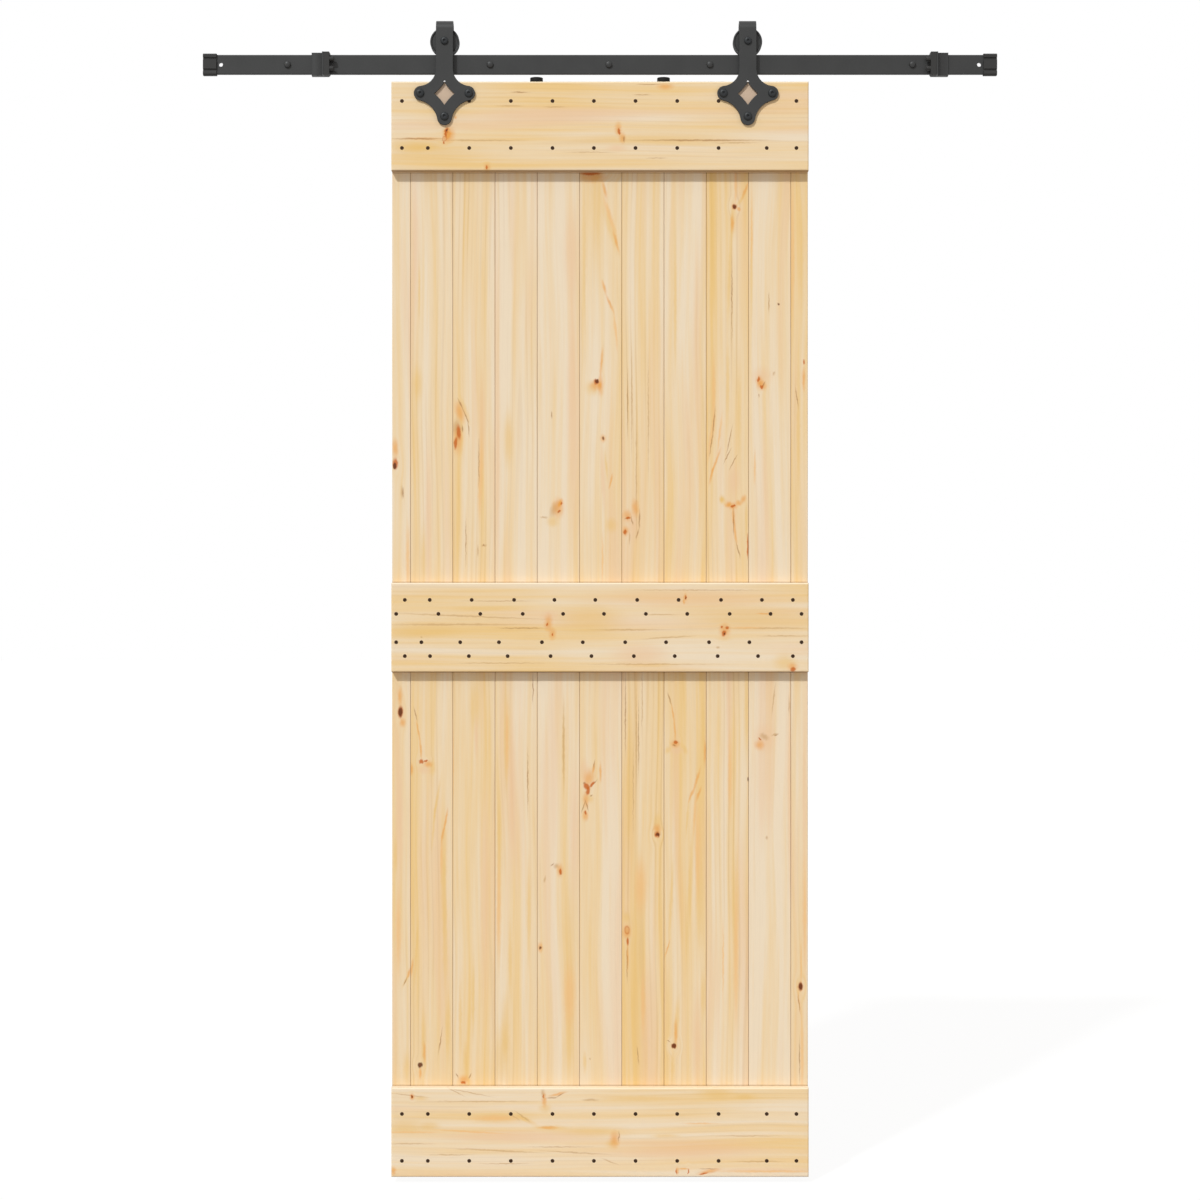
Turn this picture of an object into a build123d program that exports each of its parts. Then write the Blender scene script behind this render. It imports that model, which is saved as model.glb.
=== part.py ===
"""A sliding plank door on a flat-bar track.

One leaf of upright tongue-and-groove boards, held by three ledges, hangs from two star-plate
hangers. Their grooved wheels roll on a steel bar that spacers hold off the wall.

Frame: X runs along the rail, Y into the wall and Z up. The origin is on the wall's face, at the
middle of the rail's length and height. All sizes are in millimetres.
"""

import os
from math import sqrt

from build123d import *

# Rail
rail_length = 1520.0
rail_height = 38.0
rail_thickness = 6.0
rail_edge_radius = 2.0
wall_gap = 35.0
outer_bolt_inset = 160.0
inner_bolt_place = 211.0
middle_bolt_place = 17.0
end_hole_inset = 32.0
end_hole_diameter = 8.0

# Bolts and spacers that carry the rail
bolt_shank_diameter = 8.0
bolt_head_diameter = 13.0
bolt_head_height = 5.0
bolt_in_wall = 45.0
bolt_clearance = 0.3
spacer_diameter = 20.0
spacer_play = 1.0

# Leaf
leaf_width = 800.0
leaf_height = 2100.0
leaf_gap = 15.0
board_count = 9
left_strip_width = 35.4
right_strip_width = 32.8
board_thickness = 20.0
seam_chamfer = 1.0
tongue_thickness = 6.0
tongue_length = 6.0
tongue_play = 0.25

# Ledges, across the face of the boards
ledge_height = 171.0
ledge_thickness = 20.0
ledge_edge_radius = 3.0
middle_ledge_rise = 3.6

# Wood screws: how far each lies right of its board's middle, as they were driven
wood_head_diameter = 7.0
wood_head_depth = 3.0
wood_shank_diameter = 3.5
wood_screw_length = 35.0
outer_row_inset = 37.7
inner_row_inset = 127.8
bottom_outer_row_inset = 31.2
bottom_inner_row_inset = 121.1
edge_row_shift = (-6.0, -8.0, -9.5, -11.0, -13.0, -14.5, -16.0, -18.0, -7.0)
left_strip_screw_shift = 2.7
right_strip_screw_shift = -7.2
upper_pair_shift = (6.0, 5.0, 5.0, 1.0, -2.0, -3.0, -5.0, -5.0, -8.0)
lower_pair_shift = (-10.0, -17.0, -24.0, -23.0, -26.0, -26.0, -29.0, -28.0, -32.0)
right_strip_pair_shift = -5.7
pair_half_spacing = 8.3
upper_pair_rows = (52.6, 25.8)
lower_pair_rows = (-28.5, -55.1)

# Hanger strap and star plate. A shift is how far a hanger lies right of the seam beneath it.
left_hanger_shift = -14.6
right_hanger_shift = -2.7
strap_width = 32.6
strap_thickness = 5.0
strap_gap = 24.0
strap_headroom = 8.2
side_lobe_place = (44.8, -23.5)
side_lobe_radius = 13.9
bottom_lobe_drop = 70.2
bottom_lobe_radius = 14.2
upper_hollow_radius = 33.5
lower_hollow_radius = 43.2
window_middle_drop = 24.2
window_half_width = 19.5
window_half_height = 21.8
window_side_sag = 1.2
peep_hole_drop = 0.8
peep_hole_diameter = 4.4

# Plate screws
plate_screw_diameter = 6.3
plate_screw_length = 37.0
plate_head_diameter = 16.0
plate_head_height = 4.0
side_screw_place = (46.6, -23.5)
bottom_screw_drop = 67.7

# Wheel
wheel_root_radius = 23.5
wheel_flange_depth = 4.5
wheel_side_gap = 3.0
groove_play = 0.5
rolling_gap = 0.2

# Bearing, axle bolt and nut
bearing_diameter = 22.0
bearing_width = 7.0
bearing_ring_wall = 2.0
bearing_seal_gap = 0.3
axle_diameter = 8.0
axle_play = 0.05
axle_head_diameter = 14.8
axle_head_height = 4.5
axle_tail = 2.0
nut_flats = 13.0
nut_height = 6.5

# Flat sides that stand for a circle on small fasteners, which are many
head_sides = 12
shank_sides = 8

# Stops
left_stop_inset = 241.7
right_stop_inset = 126.6
clip_width = 21.0
clip_thickness = 3.0
clip_play = 0.15
clip_lip = 10.0
clip_reach = 11.0
buffer_width = 11.0
buffer_chamfer = 2.5
nub_diameter = 9.0
nub_length = 9.0
nub_spacing = 18.0
set_screw_diameter = 6.0
set_screw_length = 6.0

# End caps
cap_length = 26.0
cap_end_wall = 2.0
cap_side_wall = 1.8
cap_front_wall = 4.0
cap_corner = 2.5
cap_groove_width = 4.4
cap_groove_depth = 2.2
cap_groove_place = 10.9
cap_play = 0.1

# Anti-jump discs on the leaf's top edge
disc_diameter = 24.5
disc_height = 8.7
disc_place = 122.0
disc_setback = 0.5
disc_screw_diameter = 4.5
disc_screw_head = 9.0
disc_screw_head_depth = 3.0
disc_screw_play = 0.3
disc_screw_length = 40.0

# Places that follow from the sizes above
rail_half = rail_length / 2
rail_top = rail_height / 2
rail_back = -wall_gap
rail_front = rail_back - rail_thickness
rail_middle = rail_back - rail_thickness / 2
strap_back = rail_middle - strap_gap / 2
strap_front = strap_back - strap_thickness
ledge_front = strap_back
board_front = ledge_front + ledge_thickness
board_back = board_front + board_thickness
leaf_top = -rail_top - leaf_gap
leaf_bottom = leaf_top - leaf_height
leaf_left = -leaf_width / 2
leaf_right = leaf_width / 2
board_cover = (leaf_width - left_strip_width - right_strip_width) / board_count
first_seam = leaf_left + left_strip_width
last_seam = leaf_right - right_strip_width
middle_ledge_middle = leaf_bottom + leaf_height / 2 + middle_ledge_rise
flange_radius = wheel_root_radius + wheel_flange_depth
wheel_height = rail_top + wheel_root_radius + rolling_gap
bend_height = wheel_height + flange_radius + strap_headroom - strap_gap / 2
bore_radius = axle_diameter / 2 + axle_play
inner_ring_radius = bore_radius + bearing_ring_wall
disc_middle = ledge_front + disc_setback + disc_diameter / 2
hangers = {
    "left": first_seam + board_cover + left_hanger_shift,
    "right": last_seam - board_cover + right_hanger_shift,
}
rail_bolt_places = [
    -rail_half + outer_bolt_inset,
    -inner_bolt_place,
    middle_bolt_place,
    inner_bolt_place,
    rail_half - outer_bolt_inset,
]

os.makedirs("parts", exist_ok=True)


def save(builder, name):
    """Label a finished piece and write its STEP file."""
    builder.part.label = name
    export_step(builder.part, f"parts/{name}.step")


def facing(x=0.0, y=0.0, z=0.0):
    """A plane that faces the viewer, with its own X to the right and Y up."""
    return Plane((x, y, z), x_dir=(1, 0, 0), z_dir=(0, -1, 0))


# Boards
def board(left, right, grooved, tongued):
    """One upright board between two seams, its profile drawn across its length."""
    middle = (board_front + board_back) / 2
    half_tongue = tongue_thickness / 2
    half_groove = half_tongue + tongue_play
    with BuildPart() as plank:
        with BuildSketch(Plane.XY.offset(leaf_bottom)) as profile:
            with Locations(((left + right) / 2, middle)):
                Rectangle(right - left, board_thickness)
            chamfer(profile.vertices(), seam_chamfer)
            if grooved:
                with Locations((left, middle)):
                    depth = 2 * (tongue_length + tongue_play)
                    Rectangle(depth, 2 * half_groove, mode=Mode.SUBTRACT)
            if tongued:
                with Locations((right, middle)):
                    Rectangle(2 * tongue_length, 2 * half_tongue)
        extrude(amount=leaf_height)
    return plank


save(board(leaf_left, first_seam, False, True), "left_edge_board")
for number in range(board_count):
    seam = first_seam + number * board_cover
    save(board(seam, seam + board_cover, True, True), f"board_{number + 1}")
save(board(last_seam, leaf_right, True, False), "right_edge_board")


# Ledges
def ledge(middle):
    """A ledge across the boards, with its front edges rounded."""
    with BuildPart() as rail_board:
        with BuildSketch(facing(y=board_front, z=middle)):
            Rectangle(leaf_width, ledge_height)
        extrude(amount=ledge_thickness)
        front = rail_board.faces().sort_by(Axis.Y)[0]
        fillet(front.edges(), ledge_edge_radius)
    return rail_board


save(ledge(leaf_top - ledge_height / 2), "top_ledge")
save(ledge(middle_ledge_middle), "middle_ledge")
save(ledge(leaf_bottom + ledge_height / 2), "bottom_ledge")


# Screws and bolts
def round_outline(diameter, sides=0):
    """A circle, or a polygon with its corners on that circle."""
    if sides:
        RegularPolygon(diameter / 2, sides)
    else:
        Circle(diameter / 2)


def screws(places, head, shank):
    """Screws that point into the wall, at places (x, z).

    A head is (diameter, sides, front, back) and a shank (diameter, sides, tip), with y values.
    """
    head_diameter, head_flats, front, back = head
    shank_diameter, shank_flats, tip = shank
    with BuildPart() as group:
        with BuildSketch(facing(y=back)):
            with Locations(*places):
                round_outline(head_diameter, head_flats)
        extrude(amount=back - front)
        with BuildSketch(facing(y=back)):
            with Locations(*places):
                round_outline(shank_diameter, shank_flats)
        extrude(amount=back - tip)
    return group


def wood_screws(places):
    """Countersunk screws through a ledge into the boards, at places (x, z) on its face.

    There are so many that each is drawn square, with its corners on the round screw's outline.
    """
    head = wood_head_diameter / sqrt(2)
    shank = wood_shank_diameter / sqrt(2)
    near, far = (head - shank) / 2, (head + shank) / 2
    neck = ledge_front + wood_head_depth
    tip = ledge_front + wood_screw_length
    with BuildPart() as group:
        with Locations(*[(x, (ledge_front + neck) / 2, z) for x, z in places]):
            Wedge(head, wood_head_depth, head, near, near, far, far)
        with Locations(*[(x, (neck + tip) / 2, z) for x, z in places]):
            Box(shank, tip - neck, shank)
    return group


def board_middle(number):
    """The middle of a full board, counted from 0 at the left."""
    return first_seam + (number + 0.5) * board_cover


left_strip_middle = (leaf_left + first_seam) / 2
right_strip_middle = (last_seam + leaf_right) / 2


def edge_rows(heights):
    """Rows with one screw in each board, for the top and bottom ledges."""
    columns = [left_strip_middle + left_strip_screw_shift]
    for number in range(board_count):
        shift = edge_row_shift[number % len(edge_row_shift)]
        columns.append(board_middle(number) + shift)
    columns.append(right_strip_middle + right_strip_screw_shift)
    return [(x, z) for z in heights for x in columns]


def paired_rows(upper, lower, shifts, left_lean, right_lean):
    """Slanting pairs, one in each board, for the middle ledge. A lean of -1 puts the upper screw left."""
    pairs = [(left_strip_middle, left_lean)]
    for number in range(board_count):
        pairs.append((board_middle(number) + shifts[number % len(shifts)], -1))
    pairs.append((right_strip_middle + right_strip_pair_shift, right_lean))
    places = []
    for x, lean in pairs:
        places.append((x + lean * pair_half_spacing, middle_ledge_middle + upper))
        places.append((x - lean * pair_half_spacing, middle_ledge_middle + lower))
    return places


top_rows = edge_rows([leaf_top - outer_row_inset, leaf_top - inner_row_inset])
bottom_rows = edge_rows(
    [leaf_bottom + bottom_outer_row_inset, leaf_bottom + bottom_inner_row_inset]
)
middle_rows = paired_rows(*upper_pair_rows, upper_pair_shift, 1, -1)
middle_rows += paired_rows(*lower_pair_rows, lower_pair_shift, -1, 1)
save(wood_screws(top_rows), "top_ledge_screws")
save(wood_screws(middle_rows), "middle_ledge_screws")
save(wood_screws(bottom_rows), "bottom_ledge_screws")


# Hangers
def between(start, goal, distance):
    """The point at a distance from start on the way to goal."""
    return start + (goal - start).normalized() * distance


def arc_about(centre, start, end):
    """The short arc round a centre from start to end."""
    radius = (start - centre).length
    middle = centre + ((start - centre) + (end - centre)).normalized() * radius
    return ThreePointArc(start, middle, end)


def star_outline():
    """The right half of the strap and star plate, from the bend down to the bottom lobe's tip."""
    half = strap_width / 2
    side = Vector(side_lobe_place[0], leaf_top + side_lobe_place[1])
    bottom = Vector(0, leaf_top - bottom_lobe_drop)
    across = half + upper_hollow_radius - side.X
    rise = sqrt((upper_hollow_radius + side_lobe_radius) ** 2 - across**2)
    upper = Vector(half + upper_hollow_radius, side.Y + rise)
    reach_side = lower_hollow_radius + side_lobe_radius
    reach_bottom = lower_hollow_radius + bottom_lobe_radius
    span = (bottom - side).length
    along = (reach_side**2 - reach_bottom**2 + span**2) / (2 * span)
    out = sqrt(reach_side**2 - along**2)
    run = (bottom - side).normalized()
    lower = side + run * along + Vector(-run.Y, run.X) * out
    shoulder = Vector(half, upper.Y)
    lobe_top = between(side, upper, side_lobe_radius)
    lobe_foot = between(side, lower, side_lobe_radius)
    neck = between(bottom, lower, bottom_lobe_radius)
    tip = bottom - Vector(0, bottom_lobe_radius)
    Polyline((0, bend_height), (half, bend_height), shoulder)
    arc_about(upper, shoulder, lobe_top)
    ThreePointArc(lobe_top, side + Vector(side_lobe_radius, 0), lobe_foot)
    arc_about(lower, lobe_foot, neck)
    arc_about(bottom, neck, tip)


def window_outline():
    """The diamond window, whose four sides bow inwards."""
    middle = Vector(0, leaf_top - window_middle_drop)
    up = Vector(0, window_half_height)
    across = Vector(window_half_width, 0)
    tips = [middle + up, middle + across, middle - up, middle - across]
    for start, end in zip(tips, tips[1:] + tips[:1]):
        side_middle = (start + end) * 0.5
        ThreePointArc(start, between(side_middle, middle, window_side_sag), end)


def plate_screw_places(x):
    """Where the three plate screws of a hanger lie."""
    side, height = side_screw_place
    return [
        (x - side, leaf_top + height),
        (x + side, leaf_top + height),
        (x, leaf_top - bottom_screw_drop),
    ]


def hanger(x):
    """A strap bent over the wheel, with the star plate at its foot and a short leg behind."""
    with BuildPart() as piece:
        with BuildSketch(facing(x, strap_back)):
            with BuildLine():
                star_outline()
                mirror(about=Plane.YZ)
            make_face()
            with BuildLine(mode=Mode.PRIVATE) as window:
                window_outline()
            make_face(window.edges(), mode=Mode.SUBTRACT)
            with Locations((0, leaf_top - peep_hole_drop)):
                RegularPolygon(peep_hole_diameter / 2, shank_sides, mode=Mode.SUBTRACT)
            with Locations(*plate_screw_places(0)):
                hole_radius = plate_screw_diameter / 2 + bolt_clearance
                RegularPolygon(hole_radius, shank_sides, mode=Mode.SUBTRACT)
        extrude(amount=strap_thickness)
        with BuildSketch(Plane((x, rail_middle, bend_height), x_dir=(0, 1, 0), z_dir=(1, 0, 0))):
            Circle(strap_gap / 2 + strap_thickness)
            Circle(strap_gap / 2, mode=Mode.SUBTRACT)
            with Locations((0, -strap_gap)):
                Rectangle(3 * strap_gap, 2 * strap_gap, mode=Mode.SUBTRACT)
        extrude(amount=strap_width / 2, both=True)
        with BuildSketch(facing(x, rail_middle + strap_gap / 2)):
            with Locations((0, (bend_height + wheel_height) / 2)):
                Rectangle(strap_width, bend_height - wheel_height)
            with Locations((0, wheel_height)):
                Circle(strap_width / 2)
        extrude(amount=-strap_thickness)
        with BuildSketch(facing(x, strap_front)):
            with Locations((0, wheel_height)):
                RegularPolygon(bore_radius, shank_sides, major_radius=False)
        extrude(amount=-(strap_gap + 2 * strap_thickness), mode=Mode.SUBTRACT)
    return piece


# Wheels and bearings
def across_axle(x):
    """The plane that holds a wheel's axis, where a half profile is drawn for a turned piece."""
    return Plane((x, rail_middle, wheel_height), x_dir=(0, 1, 0), z_dir=(1, 0, 0))


def axle_line(x):
    """A wheel's axis."""
    return Axis((x, rail_middle, wheel_height), (0, 1, 0))


def wheel(x):
    """A wheel turned with a groove that straddles the rail, bored for its bearing."""
    half = strap_gap / 2 - wheel_side_gap
    half_groove = rail_thickness / 2 + groove_play
    with BuildPart() as piece:
        with BuildSketch(across_axle(x)):
            with BuildLine():
                Polyline(
                    (-half, bearing_diameter / 2),
                    (-half, flange_radius),
                    (-half_groove, flange_radius),
                    (-half_groove, wheel_root_radius),
                    (half_groove, wheel_root_radius),
                    (half_groove, flange_radius),
                    (half, flange_radius),
                    (half, bearing_diameter / 2),
                    close=True,
                )
            make_face()
        revolve(axis=axle_line(x))
    return piece


def bearing_outer(x):
    """The bearing's outer ring with the seals that close its sides."""
    with BuildPart() as ring:
        with BuildSketch(facing(x, rail_middle, wheel_height)):
            Circle(bearing_diameter / 2)
            opening = inner_ring_radius + bearing_seal_gap
            RegularPolygon(opening, head_sides, major_radius=False, mode=Mode.SUBTRACT)
        extrude(amount=bearing_width / 2, both=True)
    return ring


def bearing_inner(x):
    """The bearing's inner ring, long enough for the strap's two legs to clamp it."""
    with BuildPart() as ring:
        with BuildSketch(facing(x, rail_middle, wheel_height)):
            RegularPolygon(inner_ring_radius, head_sides)
            RegularPolygon(bore_radius, shank_sides, major_radius=False, mode=Mode.SUBTRACT)
        extrude(amount=strap_gap / 2, both=True)
    return ring


for side, x in hangers.items():
    save(hanger(x), f"hanger_{side}")
    save(wheel(x), f"wheel_{side}")
    save(bearing_outer(x), f"bearing_outer_{side}")
    save(bearing_inner(x), f"bearing_inner_{side}")

axle_places = [(x, wheel_height) for x in hangers.values()]
nut_front = rail_middle + strap_gap / 2 + strap_thickness
nut_back = nut_front + nut_height
axle_head = (axle_head_diameter, head_sides, strap_front - axle_head_height, strap_front)
save(screws(axle_places, axle_head, (axle_diameter, 0, nut_back + axle_tail)), "axle_bolts")

with BuildPart() as axle_nuts:
    with BuildSketch(facing(y=nut_back)):
        with Locations(*axle_places):
            RegularPolygon(nut_flats / 2, 6, major_radius=False)
            RegularPolygon(bore_radius, shank_sides, major_radius=False, mode=Mode.SUBTRACT)
    extrude(amount=nut_height)
save(axle_nuts, "axle_nuts")

plate_places = [place for x in hangers.values() for place in plate_screw_places(x)]
plate_head = (plate_head_diameter, head_sides, strap_front - plate_head_height, strap_front)
plate_shank = (plate_screw_diameter, shank_sides, strap_front + plate_screw_length)
save(screws(plate_places, plate_head, plate_shank), "plate_screws")


# Anti-jump discs, under the rail on the leaf's top edge
disc_places = [(-disc_place, disc_middle), (disc_place, disc_middle)]
disc_top = leaf_top + disc_height
disc_screw_seat = disc_top - disc_screw_head_depth

with BuildPart() as anti_jump_discs:
    with BuildSketch(Plane.XY.offset(leaf_top)):
        with Locations(*disc_places):
            Circle(disc_diameter / 2)
            hole_radius = disc_screw_diameter / 2 + disc_screw_play
            RegularPolygon(hole_radius, shank_sides, mode=Mode.SUBTRACT)
    extrude(amount=disc_height)
    with BuildSketch(Plane.XY.offset(disc_top)):
        with Locations(*disc_places):
            RegularPolygon(disc_screw_head / 2 + disc_screw_play, shank_sides)
    extrude(amount=-disc_screw_head_depth, mode=Mode.SUBTRACT)
save(anti_jump_discs, "anti_jump_discs")

with BuildPart() as disc_screws:
    with BuildSketch(Plane.XY.offset(disc_screw_seat)):
        with Locations(*disc_places):
            RegularPolygon(disc_screw_head / 2, shank_sides)
    extrude(amount=disc_screw_head_depth)
    with BuildSketch(Plane.XY.offset(disc_screw_seat)):
        with Locations(*disc_places):
            RegularPolygon(disc_screw_diameter / 2, shank_sides)
    extrude(amount=disc_screw_head_depth - disc_screw_length)
save(disc_screws, "disc_screws")


# Rail, its bolts and spacers
bolt_places = [(x, 0) for x in rail_bolt_places]
bolt_hole_radius = bolt_shank_diameter / 2 + bolt_clearance

with BuildPart() as rail:
    with BuildSketch(facing(y=rail_back)):
        Rectangle(rail_length, rail_height)
        with Locations(*bolt_places):
            RegularPolygon(bolt_hole_radius, shank_sides, major_radius=False, mode=Mode.SUBTRACT)
        end_hole_place = rail_half - end_hole_inset
        with Locations((-end_hole_place, 0), (end_hole_place, 0)):
            Circle(end_hole_diameter / 2, mode=Mode.SUBTRACT)
    extrude(amount=rail_thickness)
    outer_edges = rail.edges().filter_by(Axis.X).filter_by(lambda edge: edge.length > rail_half)
    fillet(outer_edges, rail_edge_radius)
save(rail, "rail")

bolt_head = (bolt_head_diameter, head_sides, rail_front - bolt_head_height, rail_front)
bolts_to_wall = screws(bolt_places, bolt_head, (bolt_shank_diameter, shank_sides, 0))

with BuildPart() as rail_bolts:
    add(bolts_to_wall.part)
    with BuildSketch(facing()):
        with Locations(*bolt_places):
            Circle(bolt_shank_diameter / 2)
    extrude(amount=-bolt_in_wall)
save(rail_bolts, "rail_bolts")

with BuildPart() as rail_spacers:
    with BuildSketch(facing()):
        with Locations(*bolt_places):
            RegularPolygon(spacer_diameter / 2, head_sides)
            hole_radius = bolt_shank_diameter / 2 + spacer_play
            RegularPolygon(hole_radius, shank_sides, major_radius=False, mode=Mode.SUBTRACT)
    extrude(amount=wall_gap)
save(rail_spacers, "rail_spacers")


# Stops
clip_inside = rail_height + 2 * clip_play
clip_outside = clip_inside + 2 * clip_thickness
clip_back = rail_back + clip_play + clip_thickness
clip_front = rail_front - clip_play - clip_thickness
buffer_front = clip_front - clip_reach


def across_rail(x):
    """A plane square to the rail, with its own X into the wall and Y up."""
    return Plane((x, rail_middle, 0), x_dir=(0, 1, 0), z_dir=(1, 0, 0))


def stop_clip(flange_face, inward):
    """A clip folded round the rail, with a flange bent forward beside its buffer.

    The flange's face is at x = flange_face; inward is 1 where the leaf is to the right of it.
    """
    length = clip_width + clip_thickness
    with BuildPart() as clip:
        with BuildSketch(across_rail(flange_face)):
            with Locations(((clip_front + clip_back) / 2 - rail_middle, 0)):
                Rectangle(clip_back - clip_front, clip_outside)
            Rectangle(rail_thickness + 2 * clip_play, clip_inside, mode=Mode.SUBTRACT)
            with Locations((clip_back - rail_middle, 0)):
                mouth = clip_inside - 2 * clip_lip
                Rectangle(2 * clip_thickness, mouth, mode=Mode.SUBTRACT)
        extrude(amount=-inward * length)
        with BuildSketch(across_rail(flange_face)):
            with Locations((clip_front - clip_reach / 2 - rail_middle, 0)):
                Rectangle(clip_reach, clip_outside)
        extrude(amount=-inward * clip_thickness)
        with BuildSketch(facing(y=clip_back)):
            with Locations(*set_screw_places(flange_face, inward)):
                hole_radius = set_screw_diameter / 2 + clip_play
                RegularPolygon(hole_radius, shank_sides)
        extrude(amount=clip_thickness, mode=Mode.SUBTRACT)
    return clip


def set_screw_places(flange_face, inward):
    """One set screw in each lip of a stop clip."""
    middle = flange_face - inward * (clip_width + clip_thickness) / 2
    height = clip_inside / 2 - clip_lip / 2
    return [(middle, height), (middle, -height)]


def stop_buffer(face, inward):
    """A moulded buffer on the rail beside the clip, with two nubs that meet the hanger strap."""
    depth = clip_back - buffer_front
    with BuildPart() as block:
        with BuildSketch(across_rail(face)):
            with Locations((clip_back - depth / 2 - rail_middle, 0)):
                Rectangle(depth, clip_outside)
            Rectangle(rail_thickness + 2 * clip_play, clip_inside, mode=Mode.SUBTRACT)
        extrude(amount=-inward * buffer_width)
        corners = block.edges().filter_by(Axis.Y).group_by(Axis.X)
        inner_corners = corners[-1] if inward > 0 else corners[0]
        chamfer(inner_corners.sort_by(Axis.Z)[0], buffer_chamfer)
        with BuildSketch(across_rail(face)):
            nub_middle = buffer_front + nub_diameter / 2 - rail_middle
            with Locations((nub_middle, nub_spacing / 2), (nub_middle, -nub_spacing / 2)):
                RegularPolygon(nub_diameter / 2, head_sides)
        extrude(amount=inward * nub_length)
    return block


stops = {
    "left": (-rail_half + left_stop_inset, 1),
    "right": (rail_half - right_stop_inset, -1),
}
set_places = []
for side, (face, inward) in stops.items():
    flange_face = face - inward * buffer_width
    save(stop_clip(flange_face, inward), f"stop_clip_{side}")
    save(stop_buffer(face, inward), f"stop_buffer_{side}")
    set_places += set_screw_places(flange_face, inward)

with BuildPart() as stop_set_screws:
    with BuildSketch(facing(y=rail_back + set_screw_length)):
        with Locations(*set_places):
            RegularPolygon(set_screw_diameter / 2, shank_sides)
    extrude(amount=set_screw_length)
save(stop_set_screws, "stop_set_screws")


# End caps
def end_cap(outward):
    """A moulded cap pushed over the rail's end, grooved along its front and back."""
    height = rail_height + 2 * (cap_play + cap_side_wall)
    depth = rail_thickness + 2 * (cap_play + cap_front_wall)
    with BuildPart() as cap:
        with BuildSketch(across_rail(outward * (rail_half + cap_end_wall))) as profile:
            Rectangle(depth, height)
            chamfer(profile.vertices(), cap_corner)
            with GridLocations(depth, 2 * cap_groove_place, 2, 2):
                Rectangle(2 * cap_groove_depth, cap_groove_width, mode=Mode.SUBTRACT)
        extrude(amount=-outward * cap_length)
        with BuildSketch(across_rail(outward * (rail_half + cap_play))):
            Rectangle(rail_thickness + 2 * cap_play, rail_height + 2 * cap_play)
        extrude(amount=-outward * cap_length, mode=Mode.SUBTRACT)
    return cap


save(end_cap(-1), "end_cap_left")
save(end_cap(1), "end_cap_right")
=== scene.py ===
"""The looks of a sliding plank door on a flat-bar track.

The file is laid out as an add-on: property groups hold the sizes and colours, one operator makes
each group of pieces, and a panel lists them. main() runs the operators in order.
"""

import math

import bmesh
import bpy
from bpy.props import FloatProperty, FloatVectorProperty, IntProperty, PointerProperty
from bpy.types import Operator, Panel, PropertyGroup
from mathutils import Matrix, Vector


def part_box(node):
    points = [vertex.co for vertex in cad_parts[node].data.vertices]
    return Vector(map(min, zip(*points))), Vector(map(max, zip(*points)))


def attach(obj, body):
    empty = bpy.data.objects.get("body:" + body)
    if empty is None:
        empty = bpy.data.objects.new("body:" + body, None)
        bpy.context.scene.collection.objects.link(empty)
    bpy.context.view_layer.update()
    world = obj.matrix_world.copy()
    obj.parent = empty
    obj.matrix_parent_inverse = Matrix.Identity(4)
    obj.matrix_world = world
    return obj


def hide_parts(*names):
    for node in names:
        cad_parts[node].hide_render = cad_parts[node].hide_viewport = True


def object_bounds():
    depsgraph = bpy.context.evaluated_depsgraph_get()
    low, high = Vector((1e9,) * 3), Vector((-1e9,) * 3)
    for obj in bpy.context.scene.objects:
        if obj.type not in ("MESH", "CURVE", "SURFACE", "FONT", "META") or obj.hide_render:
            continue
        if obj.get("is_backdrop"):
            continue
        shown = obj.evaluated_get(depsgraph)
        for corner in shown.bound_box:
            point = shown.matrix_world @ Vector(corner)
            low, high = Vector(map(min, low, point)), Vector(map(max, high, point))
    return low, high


bl_info = {
    "name": "Sliding Plank Door",
    "version": (1, 0, 0),
    "blender": (4, 5, 0),
    "location": "View3D > Sidebar > Plank Door",
    "description": "Pine leaf, star-plate hangers and flat-bar track, dressed and lit",
    "category": "Add Mesh",
}

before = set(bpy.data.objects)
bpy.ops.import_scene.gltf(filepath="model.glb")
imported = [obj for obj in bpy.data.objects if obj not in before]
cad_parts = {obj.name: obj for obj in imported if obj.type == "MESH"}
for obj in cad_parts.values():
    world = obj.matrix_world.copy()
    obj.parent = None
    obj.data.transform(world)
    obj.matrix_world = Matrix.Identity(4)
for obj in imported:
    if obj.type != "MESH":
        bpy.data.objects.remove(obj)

UPRIGHTS = ["left_edge_board", *(f"board_{number}" for number in range(1, 10)), "right_edge_board"]
LEDGES = ["top_ledge", "middle_ledge", "bottom_ledge"]

# The pith of each piece of pine lies so far below its back at least, wanders down by so much more,
# and lies at most so far to a side
PITH_DEPTH, PITH_WANDER, PITH_ASIDE = 0.014, 0.035, 0.035
# The waver of the marks' outlines: waves in a metre, and twice its reach across the grain and along it
WAVER_SCALE, WAVER_ACROSS, WAVER_ALONG = 210.0, 0.0035, 0.006
# The tongue that a board's box has beyond its face, the strength of a seam, and the most that the
# seams of a board and the painted shade along its ledges may add up to
TONGUE, SEAM_STRENGTH, SEAM_MOST = 0.006, 0.55, 0.8
# Marks with a half width under this, in millimetres, don't bend the grain
SMALLEST_KNOT = 2.5
# The radius of the axle and rail bolts' shanks, the height of a rail bolt's head, and the thickness
# of the bar
SHANK, BOLT_HEAD, BAR = 0.004, 0.005, 0.006
# An axle bolt is plain so far, and its thread's root is such a part of the shank's radius
PLAIN, FINE_ROOT, FINE_DEPTH = 0.034, 0.86, 0.0006
# The stops' nubs start so far from a buffer's outer end, lie so far behind its front, and above and
# below its middle
NUB_FOOT, NUB_INSET, NUB_HEIGHT = 0.011, 0.0045, 0.009

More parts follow.
